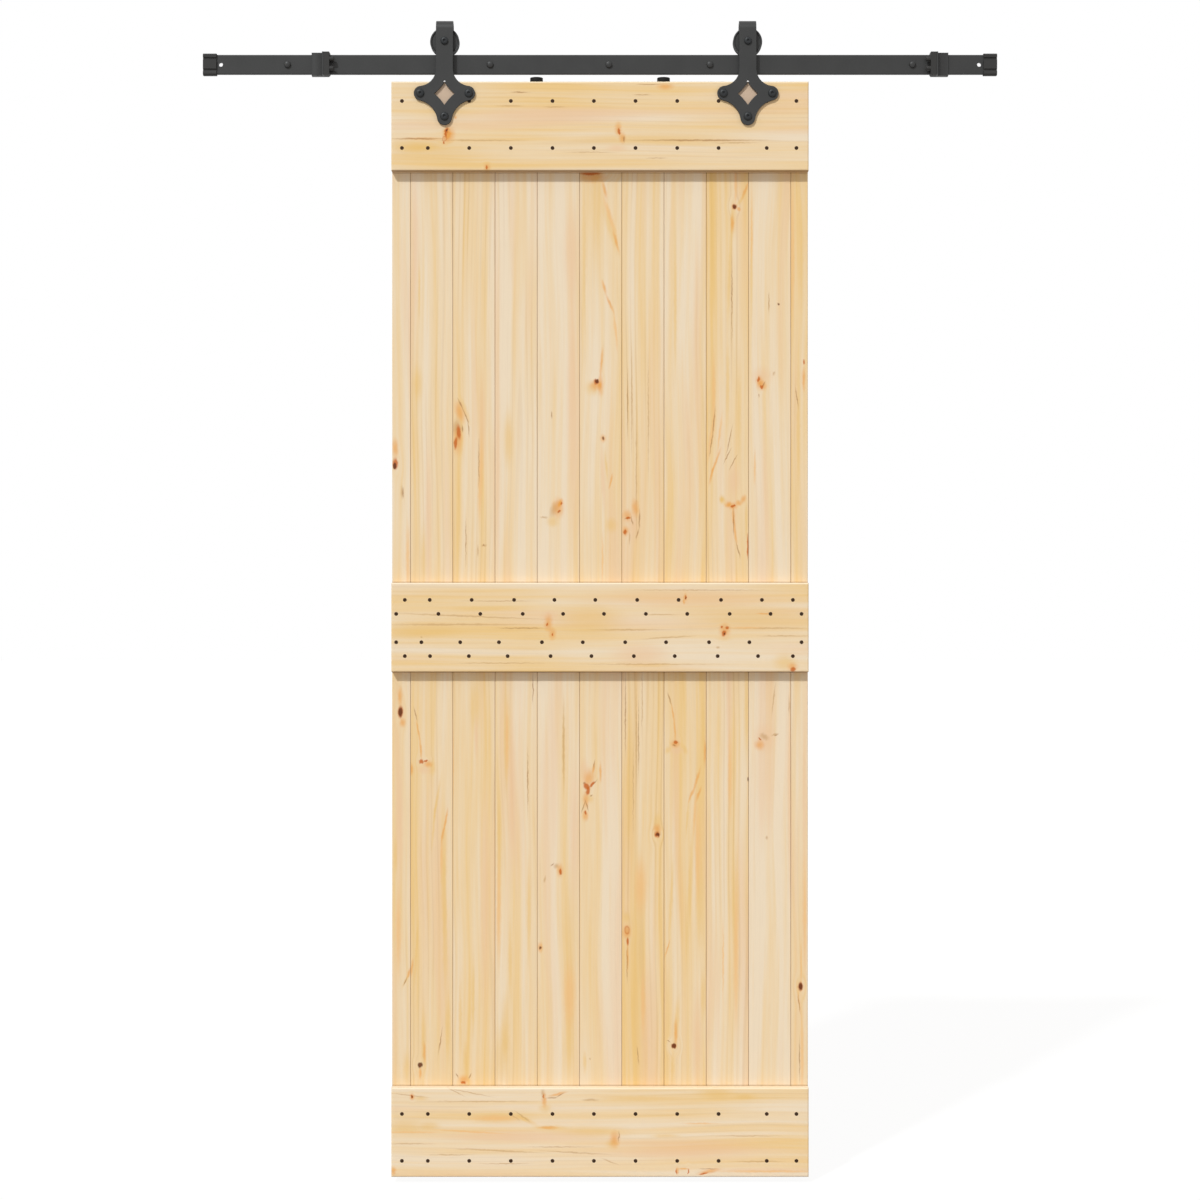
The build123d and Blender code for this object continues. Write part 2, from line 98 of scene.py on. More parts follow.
# Each piece of pine: how yellow it is at its top and its foot, from 0, cream, to 1, honey, and how
# strongly its year rings show
TONES = {
    "left_edge_board": (0.06, 0.56, 0.3),
    "board_1": (0.29, 0.62, 0.6),
    "board_2": (0.46, 0.66, 0.7),
    "board_3": (0.09, 0.56, 0.5),
    "board_4": (0.12, 0.33, 0.2),
    "board_5": (0.50, 0.14, 0.3),
    "board_6": (0.42, 0.67, 1.0),
    "board_7": (0.32, 0.67, 0.4),
    "board_8": (0.73, 0.26, 0.9),
    "board_9": (0.34, 0.08, 0.2),
    "right_edge_board": (0.72, 0.26, 0.4),
    "top_ledge": (0.50, 0.50, 0.5),
    "middle_ledge": (0.47, 0.47, 0.4),
    "bottom_ledge": (0.36, 0.36, 0.5),
}

# The marks in each piece of pine, by kind: x and z, half size across the grain and along it, in
# millimetres, and a lean where there is one, which is how far the mark's far end lies to the right,
# or up in a ledge, for each millimetre along the grain
MARKS = {
    "top_ledge": {
        # Painted shade: these two spots darken the wood in the windows of the star plates, as if the plate
        # shaded it
        "dull": [(-298, -59, 25, 23), (283, -59, 25, 23)],
        "ring": [(-298, -144, 5.7, 4.6)],
        "ember": [(-299, -152, 2.7, 1.9), (-294, -129, 6.1, 4), (-296, -136, 4.2, 2.1),
            (-217, -199, 4.2, 2.5), (36, -129, 5.4, 2.7), (38, -134, 3.1, 1.9)],
        "knot": [(-293, -128, 3.1, 1.7)],
        "amber": [(-294, -136, 14.2, 6.9), (-288, -135, 13.4, 9.6), (-216, -198, 5.7, 6.1),
            (35, -125, 11.5, 6.1), (43, -142, 9.6, 5.7), (125, -44, 5.7, 14.4), (-277, -103, 3.4, 3.1)],
        "line": [(-349, -144, 1.7, 46), (46, -145, 5.4, 1.7), (94, -40, 1.1, 21.1), (80, -60, 1, 15.3),
            (192, -147, 1.7, 115), (-153, -55, 1.1, 17.2)],
        "peach": [(-335, -144, 2.5, 30.7)],
        "gold": [(-326, -170, 17.2, 76.6), (-355, -158, 9.6, 42.2), (115, -143, 9.6, 115)],
        "blush": [(32, -162, 5.7, 15.3), (-77, -99, 13.4, 115)],
        "tan": [(259, -152, 1.3, 38.3), (-173, -81, 1.1, 23), (-86, -83, 1.1, 19.2),
            (-230, -147, 1.5, 76.6), (-19, -170, 1.1, 38.3), (109, -181, 1.1, 17.2)],
    },
    "middle_ledge": {
        "amber": [(-91, -1093, 10.3, 6.5), (-99, -1072, 14.4, 7.3), (163, -1023, 6.9, 3.3),
            (161, -1032, 4.2, 1.9), (239, -1087, 12.6, 10), (316, -1054, 1.3, 15.3),
            (369, -1156, 7.7, 8.8)],
        "ember": [(-91, -1094, 2.9, 1.7), (-101, -1075, 3.8, 2.3), (164, -1023, 4.6, 1.9),
            (238, -1092, 6.5, 4.6), (244, -1081, 3.3, 3.4), (234, -1080, 2.7, 2.7),
            (370, -1161, 4.6, 5.7)],
        "blush": [(-98, -1059, 7.7, 11.5), (172, -1026, 13.4, 153.3), (77, -1133, 17.2, 42.2)],
        "line": [(-151, -1082, 1.1, 42.2)],
        "tan": [(-278, -1075, 1.7, 118.8), (-253, -1059, 1.5, 130.3, -0.04), (326, -1082, 1.3, 72.8),
            (117, -1056, 1.1, 26.8), (57, -1085, 1.3, 61.3), (130, -1100, 1.3, 46, 0.06),
            (354, -1097, 1.3, 46), (226, -1119, 1.9, 3.1), (-343, -1099, 1.5, 1.9), (192, -1009, 1.1, 115),
            (96, -1151, 1.1, 115), (-192, -1030, 1.1, 57.5), (-192, -1149, 1.1, 76.6)],
        "gold": [(-217, -1044, 4.2, 65.2), (-337, -1085, 13.4, 61.3), (-19, -1066, 26.8, 49.8),
            (278, -1060, 18.2, 118.8), (354, -1147, 13.4, 17.2), (96, -1153, 3.1, 42.2)],
        "knot": [(164, -1024, 2.3, 1), (239, -1093, 2.1, 1.5)],
        "peach": [(278, -1081, 1.7, 26.8)],
    },
    "bottom_ledge": {
        "ember": [(-360, -1980, 4, 2.1), (-109, -1979, 3.8, 1.5), (146, -2123, 5.4, 1.3),
            (169, -2123, 5.7, 1.5), (198, -2127, 1.5, 9.6, 0.2)],
        "knot": [(-360, -1980, 1.9, 1.1)],
        "amber": [(-360, -1980, 6.5, 4.4), (-107, -1986, 12.3, 4.2), (-81, -1975, 2.7, 15.3, 0.25),
            (-100, -2039, 2.7, 17.2), (-396, -2122, 7.7, 4.6), (28, -2062, 14.6, 8.8),
            (148, -2122, 6.1, 3.1), (161, -2118, 1.7, 10.5), (208, -2123, 3.8, 20.1, 0.2),
            (390, -1954, 3.8, 6.9)],
        "gold": [(-344, -1983, 3.4, 11.5), (-105, -2001, 6.9, 9.6), (-192, -2019, 9.6, 49.8),
            (-96, -2039, 4.2, 24.9), (-325, -2036, 6.9, 15.3), (-372, -2037, 10.7, 30.7),
            (-142, -2024, 3.8, 19.2, -0.5), (-19, -2047, 9.6, 57.5), (24, -2070, 7.7, 10.3),
            (222, -1973, 10.5, 26.8), (77, -1983, 4.6, 69), (278, -1980, 4.6, 17.2),
            (77, -1959, 3.1, 30.7), (126, -2055, 3.1, 23)],
        "tan": [(-368, -1977, 1.1, 34.5, -0.12), (-109, -1975, 8.8, 3.8), (-148, -2018, 1.3, 16.3, -0.75),
            (-165, -2018, 1.1, 11.5, -0.6), (-230, -1989, 1.1, 88.1), (-278, -1970, 1.1, 19.2, -0.5),
            (-249, -1972, 1.1, 38.3, -0.2), (-77, -2076, 1.1, 57.5), (-201, -2083, 1.5, 76.6, -0.05),
            (-48, -2087, 1.3, 57.5, -0.06), (-288, -2091, 1.1, 38.3), (-182, -2108, 1.1, 42.2),
            (-364, -2070, 1.1, 38.3), (-19, -1986, 2.3, 13.4), (19, -2104, 1.3, 15.3, -0.4),
            (303, -2104, 1.3, 42.2), (278, -2055, 1.1, 57.5)],
        "line": [(-93, -1982, 1.1, 9.6), (-77, -1977, 1.1, 8.4, 0.55), (36, -2056, 9.6, 1.1),
            (207, -2118, 1, 15.3)],
        "peach": [(-200, -2021, 5, 36.4), (-364, -2048, 1.5, 49.8), (-249, -2047, 1.5, 57.5, -0.06),
            (326, -2123, 1.9, 76.6), (192, -2031, 1.3, 26.8)],
        "blush": [(318, -2121, 4.2, 88.1), (172, -2082, 15.3, 115), (-134, -2057, 9.6, 115)],
    },
    "left_edge_board": {
        "ember": [(-394, -766, 6, 11.9), (-384, -1243, 5.6, 12.7)],
        "knot": [(-395, -770, 3.7, 6.5), (-384, -1243, 4, 10)],
        "amber": [(-394, -736, 5.6, 17.3, -0.05), (-385, -1214, 4.4, 17.3), (-380, -1264, 5.8, 7.7),
            (-368, -1746, 2.7, 9.6, 0.3)],
        "tan": [(-381, -820, 2.7, 11.5, -0.05)],
        "line": [(-379, -821, 1.2, 8.7), (-375, -1762, 1.2, 8.7, 0.4)],
        "blush": [(-386, -1465, 6.2, 92.4)],
        "peach": [(-388, -1665, 4.4, 69.3), (-370, -951, 3.1, 57.7)],
        "gold": [(-374, -1759, 2.1, 13.5, 0.45), (-372, -1929, 5.8, 26.9), (-393, -1521, 3.1, 26.9)],
    },
    "board_1": {
        "line": [(-355, -1248, 1.2, 12.5, -0.24), (-307, -1875, 1.2, 23.1, 0.15)],
        "amber": [(-350, -1279, 1.7, 17.3, -0.2), (-345, -1315, 1.9, 19.2, -0.1), (-331, -1344, 8.1, 5.8),
            (-363, -1354, 3.3, 10.6), (-296, -1448, 1.9, 17.3, 0.16), (-302, -1476, 2.3, 19.2, 0.18),
            (-338, -1898, 2.7, 17.3), (-346, -1938, 2.7, 11.5), (-362, -1736, 1.9, 15.4, 0.1)],
        "ember": [(-344, -1339, 5, 4.6, 0.4), (-335, -1338, 4.6, 2.3, -0.3)],
        "blush": [(-339, -1355, 11.5, 6.2), (-357, -354, 5.8, 115.5), (-330, -874, 5.8, 115.5)],
        "gold": [(-323, -1351, 5.8, 11.5), (-300, -1501, 5, 65.4), (-314, -1413, 2.3, 34.6, 0.18),
            (-320, -1463, 2.1, 38.5, 0.08), (-301, -1592, 5.4, 61.6), (-298, -1692, 4.2, 77),
            (-293, -1846, 4.2, 50), (-339, -1875, 4.4, 46.2), (-354, -1711, 2.3, 57.7, 0.06),
            (-348, -435, 1.9, 46.2), (-339, -951, 5, 53.9), (-351, -612, 7.7, 26.9)],
        "peach": [(-305, -1521, 2.5, 32.7, 0.02)],
        "knot": [(-346, -1923, 5, 5.4)],
    },
    "board_2": {
        "tan": [(-276, -696, 7.7, 14.4), (-223, -923, 4.6, 2.3), (-235, -933, 1.5, 9.6)],
        "ember": [(-272, -705, 4.6, 15.4, -0.05), (-278, -726, 3.5, 12.5, 0.1), (-263, -1957, 5, 2.7)],
        "amber": [(-274, -720, 8.1, 25), (-270, -666, 8.1, 19.2, -0.28), (-262, -1951, 8.9, 8.5)],
        "line": [(-265, -698, 1.5, 6.9, -0.12), (-268, -652, 1.3, 12.5, -0.5),
            (-258, -674, 1.3, 12.5, -0.42), (-253, -697, 1.2, 15.4, -0.1), (-233, -762, 1, 42.3),
            (-224, -923, 2.3, 1.3), (-275, -1943, 1.5, 5, -0.5), (-250, -1944, 1.5, 5.4, 0.4),
            (-258, -913, 1, 42.3)],
        "gold": [(-260, -662, 3.8, 23.1, -0.35), (-241, -1228, 7.7, 42.3), (-259, -1913, 3.1, 26.9),
            (-244, -1798, 2.7, 57.7), (-269, -1827, 2.7, 61.6)],
        "peach": [(-230, -793, 3.7, 65.4, 0.03), (-283, -1340, 1.5, 65.4)],
        "blush": [(-227, -691, 5.8, 77), (-238, -1292, 2.9, 30.8), (-221, -1605, 7.7, 173.2)],
    },
    "board_3": {
        "gold": [(-179, -1299, 4.8, 73.1, 0.02), (-194, -1494, 3.8, 84.7), (-137, -1634, 3.1, 80.8),
            (-182, -1844, 6.9, 50), (-187, -1906, 11.5, 46.2), (-173, -1725, 3.1, 65.4),
            (-177, -720, 7.7, 42.3)],
        "peach": [(-179, -1301, 2.5, 57.7), (-195, -1625, 3.7, 80.8)],
        "line": [(-129, -1197, 1, 30.8), (-139, -1374, 1, 57.7)],
        "blush": [(-170, -1413, 5.8, 115.5), (-197, -778, 3.5, 173.2)],
    },
    "board_4": {
        "amber": [(-76, -841, 4.6, 6.9, 0.3), (-81, -851, 10, 17.3), (-77, -1548, 5.8, 11.5),
            (-115, -1697, 4.8, 8.9)],
        "ember": [(-74, -842, 1.9, 3.1), (-79, -857, 3.7, 2.1, -0.5), (-76, -1551, 2.7, 6.5)],
        "line": [(-79, -859, 2.9, 1.2, -0.5), (-93, -672, 1.2, 6.2, -0.05), (-75, -1553, 1.3, 3.8),
            (-92, -1537, 4.2, 1.3, -0.8)],
        "tan": [(-88, -853, 6.9, 13.5, 0.4), (-108, -869, 6.5, 1.9), (-70, -1309, 1.9, 73.1),
            (-84, -1540, 5, 4.2), (-106, -1565, 1.9, 6.2, 0.2)],
        "gold": [(-91, -877, 9.6, 8.7), (-70, -1321, 3.5, 77), (-57, -1682, 10.6, 134.7),
            (-59, -1879, 8.9, 57.7)],
        "peach": [(-59, -1788, 9.6, 50)],
        "blush": [(-49, -1471, 7.7, 105.8), (-55, -358, 11.5, 77), (-50, -701, 9.6, 173.2)],
        "dot": [(-115, -1697, 2.3, 3.3)],
    },
    "board_5": {
        "ember": [(-18, -207, 21.2, 4.2), (-7, -608, 5.4, 6.2), (-26, -1386, 6.5, 5.8, 0.5),
            (-23, -1396, 4.2, 8.5, 0.2), (-15, -1383, 2.7, 7.3, 0.85), (-28, -1437, 2.5, 4.6, -0.2)],
        "amber": [(-15, -215, 23.1, 8.9), (9, -239, 3.1, 15.4, -0.25), (31, -339, 2.5, 19.2, -0.26),
            (8, -426, 3.1, 12.5, -0.3), (19, -458, 2.5, 17.3, -0.42), (3, -570, 2.7, 25, 0.08),
            (1, -614, 5, 19.2), (-9, -615, 9.6, 9.2), (6, -717, 5, 7.3), (21, -799, 1.9, 13.5, 0.25),
            (-22, -1372, 10.4, 17.3, 0.2), (-12, -1351, 2.3, 9.6, 0.2), (1, -1360, 2.3, 17.3),
            (-27, -1413, 5.8, 15.4), (-28, -1443, 5.8, 9.6)],
        "peach": [(19, -289, 3.5, 32.7, -0.32), (30, -510, 2.3, 30.8, -0.1), (5, -951, 1.9, 38.5)],
        "gold": [(21, -312, 6.2, 42.3, -0.3), (-14, -620, 11.5, 11.5), (12, -770, 2.3, 23.1, -0.1),
            (22, -884, 8.9, 11.5), (-6, -258, 9.6, 115.5), (-31, -354, 3.5, 134.7),
            (-19, -1410, 5, 6.9, -0.2), (-29, -1917, 3.1, 17.3)],
        "knot": [(-6, -607, 3.8, 4.4)],
        "dot": [(6, -717, 2.3, 3.8)],
        "blush": [(6, -793, 3.8, 50, -0.05), (-31, -1355, 7.7, 17.3)],
        "line": [(-30, -1381, 3.1, 2.3, -0.8), (-12, -1381, 1.3, 9.2, 0.85), (-11, -1345, 1.2, 7.7, 0.15),
            (-25, -1424, 1.2, 11.5, -0.32), (-32, -1426, 1.2, 10.8, 0.35), (-17, -1404, 2.7, 1.3, -0.6)],
        "tan": [(-19, -1911, 1.7, 2.1)],
    },
    "board_6": {
        "line": [(53, -871, 5.8, 1.7, -0.15), (62, -876, 1.2, 8.1, -0.15), (76, -873, 1.2, 17.3, 0.02),
            (72, -901, 1.2, 9.6, 0.25), (74, -1294, 0.9, 65.4), (49, -1244, 1, 77), (53, -647, 1.1, 57.7),
            (52, -1730, 1, 30.8), (73, -1904, 1, 15.4, -0.1)],
        "ember": [(54, -870, 4.6, 2.7), (48, -897, 3.7, 5), (110, -1479, 5.8, 6.5), (53, -1685, 2.3, 8.5)],
        "amber": [(49, -895, 6.5, 8.5), (52, -866, 8.1, 10.6), (68, -851, 6.5, 15.4, -0.1),
            (110, -1469, 6.9, 9.6), (51, -1667, 7.7, 12.7), (53, -1715, 2.1, 25)],
        "blush": [(64, -884, 9.6, 25), (88, -1855, 6.7, 96.2)],
        "tan": [(57, -909, 1.5, 11.5), (70, -1288, 1, 88.5), (81, -1220, 1, 65.4), (64, -1394, 1, 77),
            (61, -643, 1.2, 88.5), (70, -778, 1.2, 115.5), (41, -701, 1, 88.5), (93, -674, 1, 100.1)],
        "knot": [(111, -1479, 3.7, 3.8, -0.5)],
        "gold": [(110, -1455, 5.8, 13.5), (51, -1639, 5.4, 9.6), (72, -1769, 13.5, 202.1),
            (59, -1374, 6.9, 134.7)],
        "ring": [(52, -1663, 5.2, 8.5, -0.12)],
        "peach": [(83, -1804, 3.1, 50), (78, -1580, 9.6, 42.3)],
    },
    "board_7": {
        "line": [(134, -1218, 1.2, 11.5, -0.26), (143, -1308, 3.8, 1.7, 0.5), (132, -1877, 3.5, 1, 0.6)],
        "amber": [(140, -1245, 1.7, 18.3, -0.17), (144, -1278, 1.7, 17.3, -0.05), (145, -1305, 8.1, 6.9),
            (202, -1321, 2.3, 23.1), (187, -1372, 2.5, 19.2, 0.3), (176, -1403, 2.3, 15.4, 0.42),
            (190, -1401, 2.3, 13.5, 0.35), (130, -1698, 1.5, 15.4, 0.3), (146, -1861, 3.1, 23.1)],
        "ember": [(146, -1302, 4.6, 4), (142, -1886, 5.4, 5.6)],
        "gold": [(131, -1317, 4.2, 6.9, 0.8), (163, -1315, 3.8, 8.9, -0.5), (200, -1274, 3.3, 69.3),
            (168, -1448, 1.9, 30.8, 0.08), (190, -1621, 5.8, 77), (199, -1790, 4.2, 38.5),
            (174, -1567, 3.8, 115.5, 0.05), (137, -1605, 2.7, 65.4, 0.05), (147, -1844, 4.6, 42.3, 0.1),
            (140, -1929, 2.7, 26.9), (145, -451, 2.7, 115.5)],
        "blush": [(148, -1317, 10.6, 6.9), (187, -1875, 7.7, 77)],
        "peach": [(182, -1440, 2.1, 34.6, 0.06), (188, -1509, 4.6, 73.1)],
        "knot": [(142, -1886, 4.6, 5)],
    },
    "board_8": {
        "knot": [(259, -271, 3.7, 4.4)],
        "ember": [(259, -271, 5.2, 5.8), (255, -848, 3.7, 3.3), (259, -846, 2.3, 1.9),
            (284, -924, 1.3, 25)],
        "amber": [(267, -276, 3.5, 3.5), (255, -304, 3.1, 15.4), (280, -239, 2.5, 17.3, 0.4),
            (224, -759, 2.3, 21.2, 0.36), (215, -786, 2.3, 17.3, 0.25), (255, -847, 8.9, 6.5),
            (246, -844, 6.2, 4.6, -0.6), (267, -841, 5.8, 4.6, 0.7), (276, -834, 4.6, 7.7, 0.35),
            (257, -866, 2.7, 15.4, -0.05), (260, -897, 2.5, 23.1, -0.14)],
        "peach": [(261, -231, 2.1, 30.8), (219, -628, 2.9, 57.7), (214, -714, 3.1, 38.5, 0.15),
            (230, -710, 1.9, 30.8, 0.12), (250, -1365, 3.7, 65.4), (262, -1711, 3.8, 115.5),
            (237, -1721, 1.5, 57.7)],
        "gold": [(256, -295, 5, 26.9), (271, -258, 2.7, 17.3, 0.6), (250, -393, 3.1, 88.5, 0.04),
            (217, -297, 5.8, 154), (216, -639, 6.2, 88.5), (268, -672, 3.5, 92.4), (246, -614, 3.1, 77),
            (237, -837, 4.6, 8.5, -0.55), (234, -834, 3.8, 6.5), (282, -874, 2.7, 30.8),
            (282, -1240, 4.6, 69.3), (260, -1605, 5.8, 77)],
        "line": [(254, -451, 1, 77), (219, -687, 1.2, 26.9, 0.1), (214, -730, 1.2, 19.2, 0.16),
            (249, -720, 1, 26.9, 0.22), (245, -751, 1.2, 15.4, 0.5), (257, -762, 1, 15.4, 0.5),
            (266, -932, 1.3, 15.4, -0.26), (257, -878, 1, 23.1)],
        "blush": [(258, -797, 9.6, 23.1), (248, -1220, 5, 96.2)],
        "dot": [(285, -1373, 1.3, 4.6)],
    },
    "board_9": {
        "ember": [(305, -604, 2.5, 5, 0.25), (311, -618, 3.5, 3.5, 0.6), (308, -1296, 3.5, 1.7, 0.8)],
        "amber": [(307, -606, 6.2, 8.9), (312, -616, 8.9, 8.1), (307, -1307, 8.9, 8.9)],
        "line": [(315, -613, 1.3, 6.5, 0.6), (306, -635, 1, 3.8), (343, -458, 1.5, 2.3),
            (325, -451, 0.8, 13.5), (308, -1295, 3.1, 1.3, 0.8), (339, -1288, 3.8, 1, -0.3)],
        "blush": [(312, -597, 15.4, 13.5), (317, -1294, 15.4, 21.2), (366, -1413, 4.2, 154)],
        "tan": [(335, -592, 1.9, 4.6, 0.4), (325, -458, 1.2, 15.4), (316, -1291, 8.9, 5, 0.6),
            (337, -1287, 6.5, 2.1, -0.3), (334, -1220, 1.2, 26.9, 0.12), (364, -1230, 1.3, 17.3),
            (321, -1486, 1.9, 3.8)],
        "peach": [(298, -774, 1.9, 26.9), (292, -316, 1.7, 57.7)],
        "gold": [(291, -403, 2.7, 84.7)],
        "dot": [(344, -459, 1.7, 1.9)],
    },
    "right_edge_board": {
        "amber": [(392, -603, 3.1, 21.2)],
        "ember": [(392, -570, 1.5, 5.8), (386, -1772, 5.4, 8.9)],
        "line": [(379, -639, 1, 19.2, -0.15), (383, -1804, 1, 17.3, -0.1), (384, -1913, 1, 38.5)],
        "gold": [(382, -701, 3.1, 115.5), (388, -374, 3.8, 115.5)],
        "peach": [(371, -354, 2.7, 115.5), (387, -1736, 1.7, 42.3), (383, -1798, 1.7, 26.9, -0.1),
            (394, -1634, 3.5, 100.1), (389, -1898, 2.9, 65.4)],
        "knot": [(386, -1772, 4.2, 7.3)],
        "blush": [(394, -1413, 3.5, 115.5), (365, -1509, 4.2, 115.5)],
    },
}

# The finishes of the hardware: the slot in the record that each stands for, the property that holds
# its tint, and what differs from the satin coat
FINISHES = {
    "track_coat": ("black_steel", "track", {"shine": 0.38}),
    "fastener_coat": ("black_steel", "fastener", {"grit": 1600.0, "shine": 0.35}),
    "bronze_coat": ("bronze_screw", "bronze",
                    {"roughness": 0.62, "grit": 2200.0, "depth": 0.00002, "shine": 0.2}),
    "moulding": ("black_rubber", "rubber",
                 {"roughness": 0.62, "grit": 900.0, "depth": 0.00006, "shine": 0.4}),
    "disc_moulding": ("black_rubber", "disc",
                      {"roughness": 0.66, "grit": 900.0, "depth": 0.00006, "shine": 0.15}),
    "ground_steel": ("bright_steel", "bright",
                     {"roughness": 0.30, "grit": 2600.0, "depth": 0.00001, "metallic": 1.0}),
}

# The kinds of mark, in the order in which they are laid over the wood: tint, strength, how far it
# reaches and how wide its even middle is, both as parts of the half size, and its push on the grain
MARK_KINDS = {
    "gold": ("honey_streak", 0.50, 1.8, 0.2, 0.0),
    "blush": ("blush", 0.55, 1.8, 0.2, 0.0),
    "tan": ("tan", 0.55, 1.6, 0.2, 0.0),
    # The next kind is painted shade, for the wood in the windows of the star plates
    "dull": ("dull", 0.90, 1.2, 0.9, 0.0),
    "peach": ("peach", 0.70, 1.8, 0.2, 0.0),
    "amber": ("amber", 0.66, 1.6, 0.1, 0.0),
    "line": ("latewood", 0.65, 1.5, 0.2, 0.0),
    "ember": ("ember", 0.90, 1.25, 0.5, 0.8),
    "knot": ("heart", 0.95, 1.25, 0.6, 1.0),
    "dot": ("heart", 0.90, 1.4, 0.4, 0.3),
}


def millimetres(name, description, default):
    """A length property that is set in metres and shown in the scene's unit."""
    return FloatProperty(name=name, description=description, default=default / 1000, unit="LENGTH",
                         subtype="DISTANCE", precision=5)


def colour(name, description, default):
    """A colour property, in linear values."""
    return FloatVectorProperty(name=name, description=description, default=default, size=3,
                               min=0.0, max=1.0, subtype="COLOR")


def share(name, description, default):
    """A property between 0 and 1."""
    return FloatProperty(name=name, description=description, default=default, min=0.0, max=1.0,
                         subtype="FACTOR")


class PineProperties(PropertyGroup):
    """The bare pine of the boards and ledges."""

    cream: colour("Cream", "Palest wood, between the bands", (0.850, 0.705, 0.525))
    honey: colour("Honey", "Yellow wood in the bands", (0.838, 0.575, 0.252))
    honey_streak: colour("Honey Streak", "The yellowest streaks", (0.805, 0.515, 0.165))
    blush: colour("Blush", "Pink wood", (0.825, 0.545, 0.330))
    tan: colour("Tan", "Dull brown smears", (0.530, 0.300, 0.120))
    # Painted shade: the wood in the windows of the star plates, darkened as if the plate shaded it
    dull: colour("Dull", "Shaded wood behind the windows of the plates", (0.560, 0.420, 0.320))
    peach: colour("Peach", "Long orange streaks", (0.855, 0.500, 0.205))
    amber: colour("Amber", "Resin-stained wood round the knots", (0.800, 0.345, 0.062))
    latewood: colour("Latewood", "Thin darker lines of the year rings", (0.350, 0.140, 0.035))
    ember: colour("Ember", "Red-brown bark and resin of a knot", (0.560, 0.130, 0.010))
    heart: colour("Heart", "The middle of a knot", (0.130, 0.030, 0.004))
    # Painted highlight: the upper edge of a ledge made paler, as if lit from above
    edge: colour("Edge", "The rubbed upper edge of a ledge", (0.940, 0.830, 0.660))
    # This dark is partly the joints' own and partly painted shade: it also darkens the lines along the
    # ledges and the ledges' lower rims
    seam: colour("Seam", "The dark in a joint between two boards", (0.260, 0.115, 0.040))
    ring_width: millimetres("Ring Width", "From one year ring to the next", 8.5)
    wander: millimetres("Wander", "How far the grain strays sideways along a board", 16.0)
    banding: share("Banding", "Contrast between cream and honey bands", 0.95)
    roughness: share("Roughness", "Of the sanded face", 0.58)


class SteelProperties(PropertyGroup):
    """The coated steel of the track, its hangers and its fasteners."""

    track: colour("Track Coat", "Powder coat of the rail, hangers, wheels and stops", (0.027, 0.027, 0.027))
    fastener: colour("Fastener Coat", "Darker finish of the axle and plate screws", (0.013, 0.015, 0.017))
    bronze: colour("Bronze Coat", "Finish of the wood screws", (0.042, 0.020, 0.009))
    rubber: colour("Moulding", "Stop buffers and end caps", (0.018, 0.017, 0.016))
    disc: colour("Disc", "Anti-jump discs", (0.0108, 0.0102, 0.0096))
    bright: colour("Bright", "Ground steel of the bearings and plated screws", (0.52, 0.52, 0.51))
    roughness: share("Roughness", "Of the satin coat", 0.46)
    edge: millimetres("Broken Edge", "Width of the broken edges on cut and folded steel", 0.6)


class HardwareProperties(PropertyGroup):
    """Turned and formed details that the plain solids leave out."""

    turn_steps: IntProperty(name="Turning Steps", description="Faces round a turned piece",
                            default=48, min=12, max=96)
    thread_pitch: millimetres("Thread Pitch", "Of the wall bolts", 2.5)
    thread_depth: millimetres("Thread Depth", "Of the wall bolts", 0.7)
    fine_pitch: millimetres("Fine Pitch", "Of the axle bolts", 1.25)
    axle_socket: millimetres("Axle Socket", "Across the flats of the axle bolt's socket", 5.0)
    plate_socket: millimetres("Plate Socket", "Across the flats of the plate screw's socket", 5.0)
    wheel_dish: millimetres("Wheel Dish", "Depth of the recess in a wheel's side", 1.6)
    wheel_rim: millimetres("Wheel Rim", "Width of the rim round that recess", 3.2)


class StudioProperties(PropertyGroup):
    """Floor, light and camera."""

    floor_gap: millimetres("Floor Gap", "From the leaf's foot to the floor", 12.0)
    paper: colour("Paper", "Pale floor", (0.62, 0.61, 0.60))
    key: FloatProperty(name="Key", description="Strength of the light from above and left", default=2.12)
    key_tint: colour("Key Tint", "Colour of that light", (0.94, 0.985, 1.0))
    key_size: FloatProperty(name="Key Size", description="Apparent width of that light",
                            default=math.radians(3), subtype="ANGLE", unit="ROTATION")
    fill: share("Fill", "Strength of the light from all round", 0.60)
    warmth: colour("Fill Tint", "Colour of that light", (1.0, 0.95, 0.89))
    glow: FloatProperty(name="Floor Glow", description="Brightness of the floor as the camera sees it",
                        default=1.06)
    shadow: share("Floor Shadow", "How much of the floor's shadow the camera sees", 0.12)
    camera_y: FloatProperty(name="Camera Place", description="The camera's Y", default=-4.710,
                            unit="LENGTH", subtype="DISTANCE")
    camera_z: FloatProperty(name="Camera Height", description="The camera's Z", default=-1.028,
                            unit="LENGTH", subtype="DISTANCE")
    camera_angle: FloatProperty(name="Camera Angle", description="Field of view of the square frame",
                                default=math.radians(27.72), subtype="ANGLE", unit="ROTATION")


# Shader graphs


class Wire:
    """One shader socket, on which Python's operators add Math nodes."""

    def __init__(self, graph, socket):
        self.graph = graph
        self.socket = socket

    def output(self, key):
        """Another output of the same node."""
        return Wire(self.graph, self.socket.node.outputs[key])

    def __add__(self, other):
        return self.graph.math("ADD", self, other)

    def __radd__(self, other):
        return self.graph.math("ADD", other, self)

    def __sub__(self, other):
        return self.graph.math("SUBTRACT", self, other)

    def __rsub__(self, other):
        return self.graph.math("SUBTRACT", other, self)

    def __mul__(self, other):
        return self.graph.math("MULTIPLY", self, other)

    def __rmul__(self, other):
        return self.graph.math("MULTIPLY", other, self)


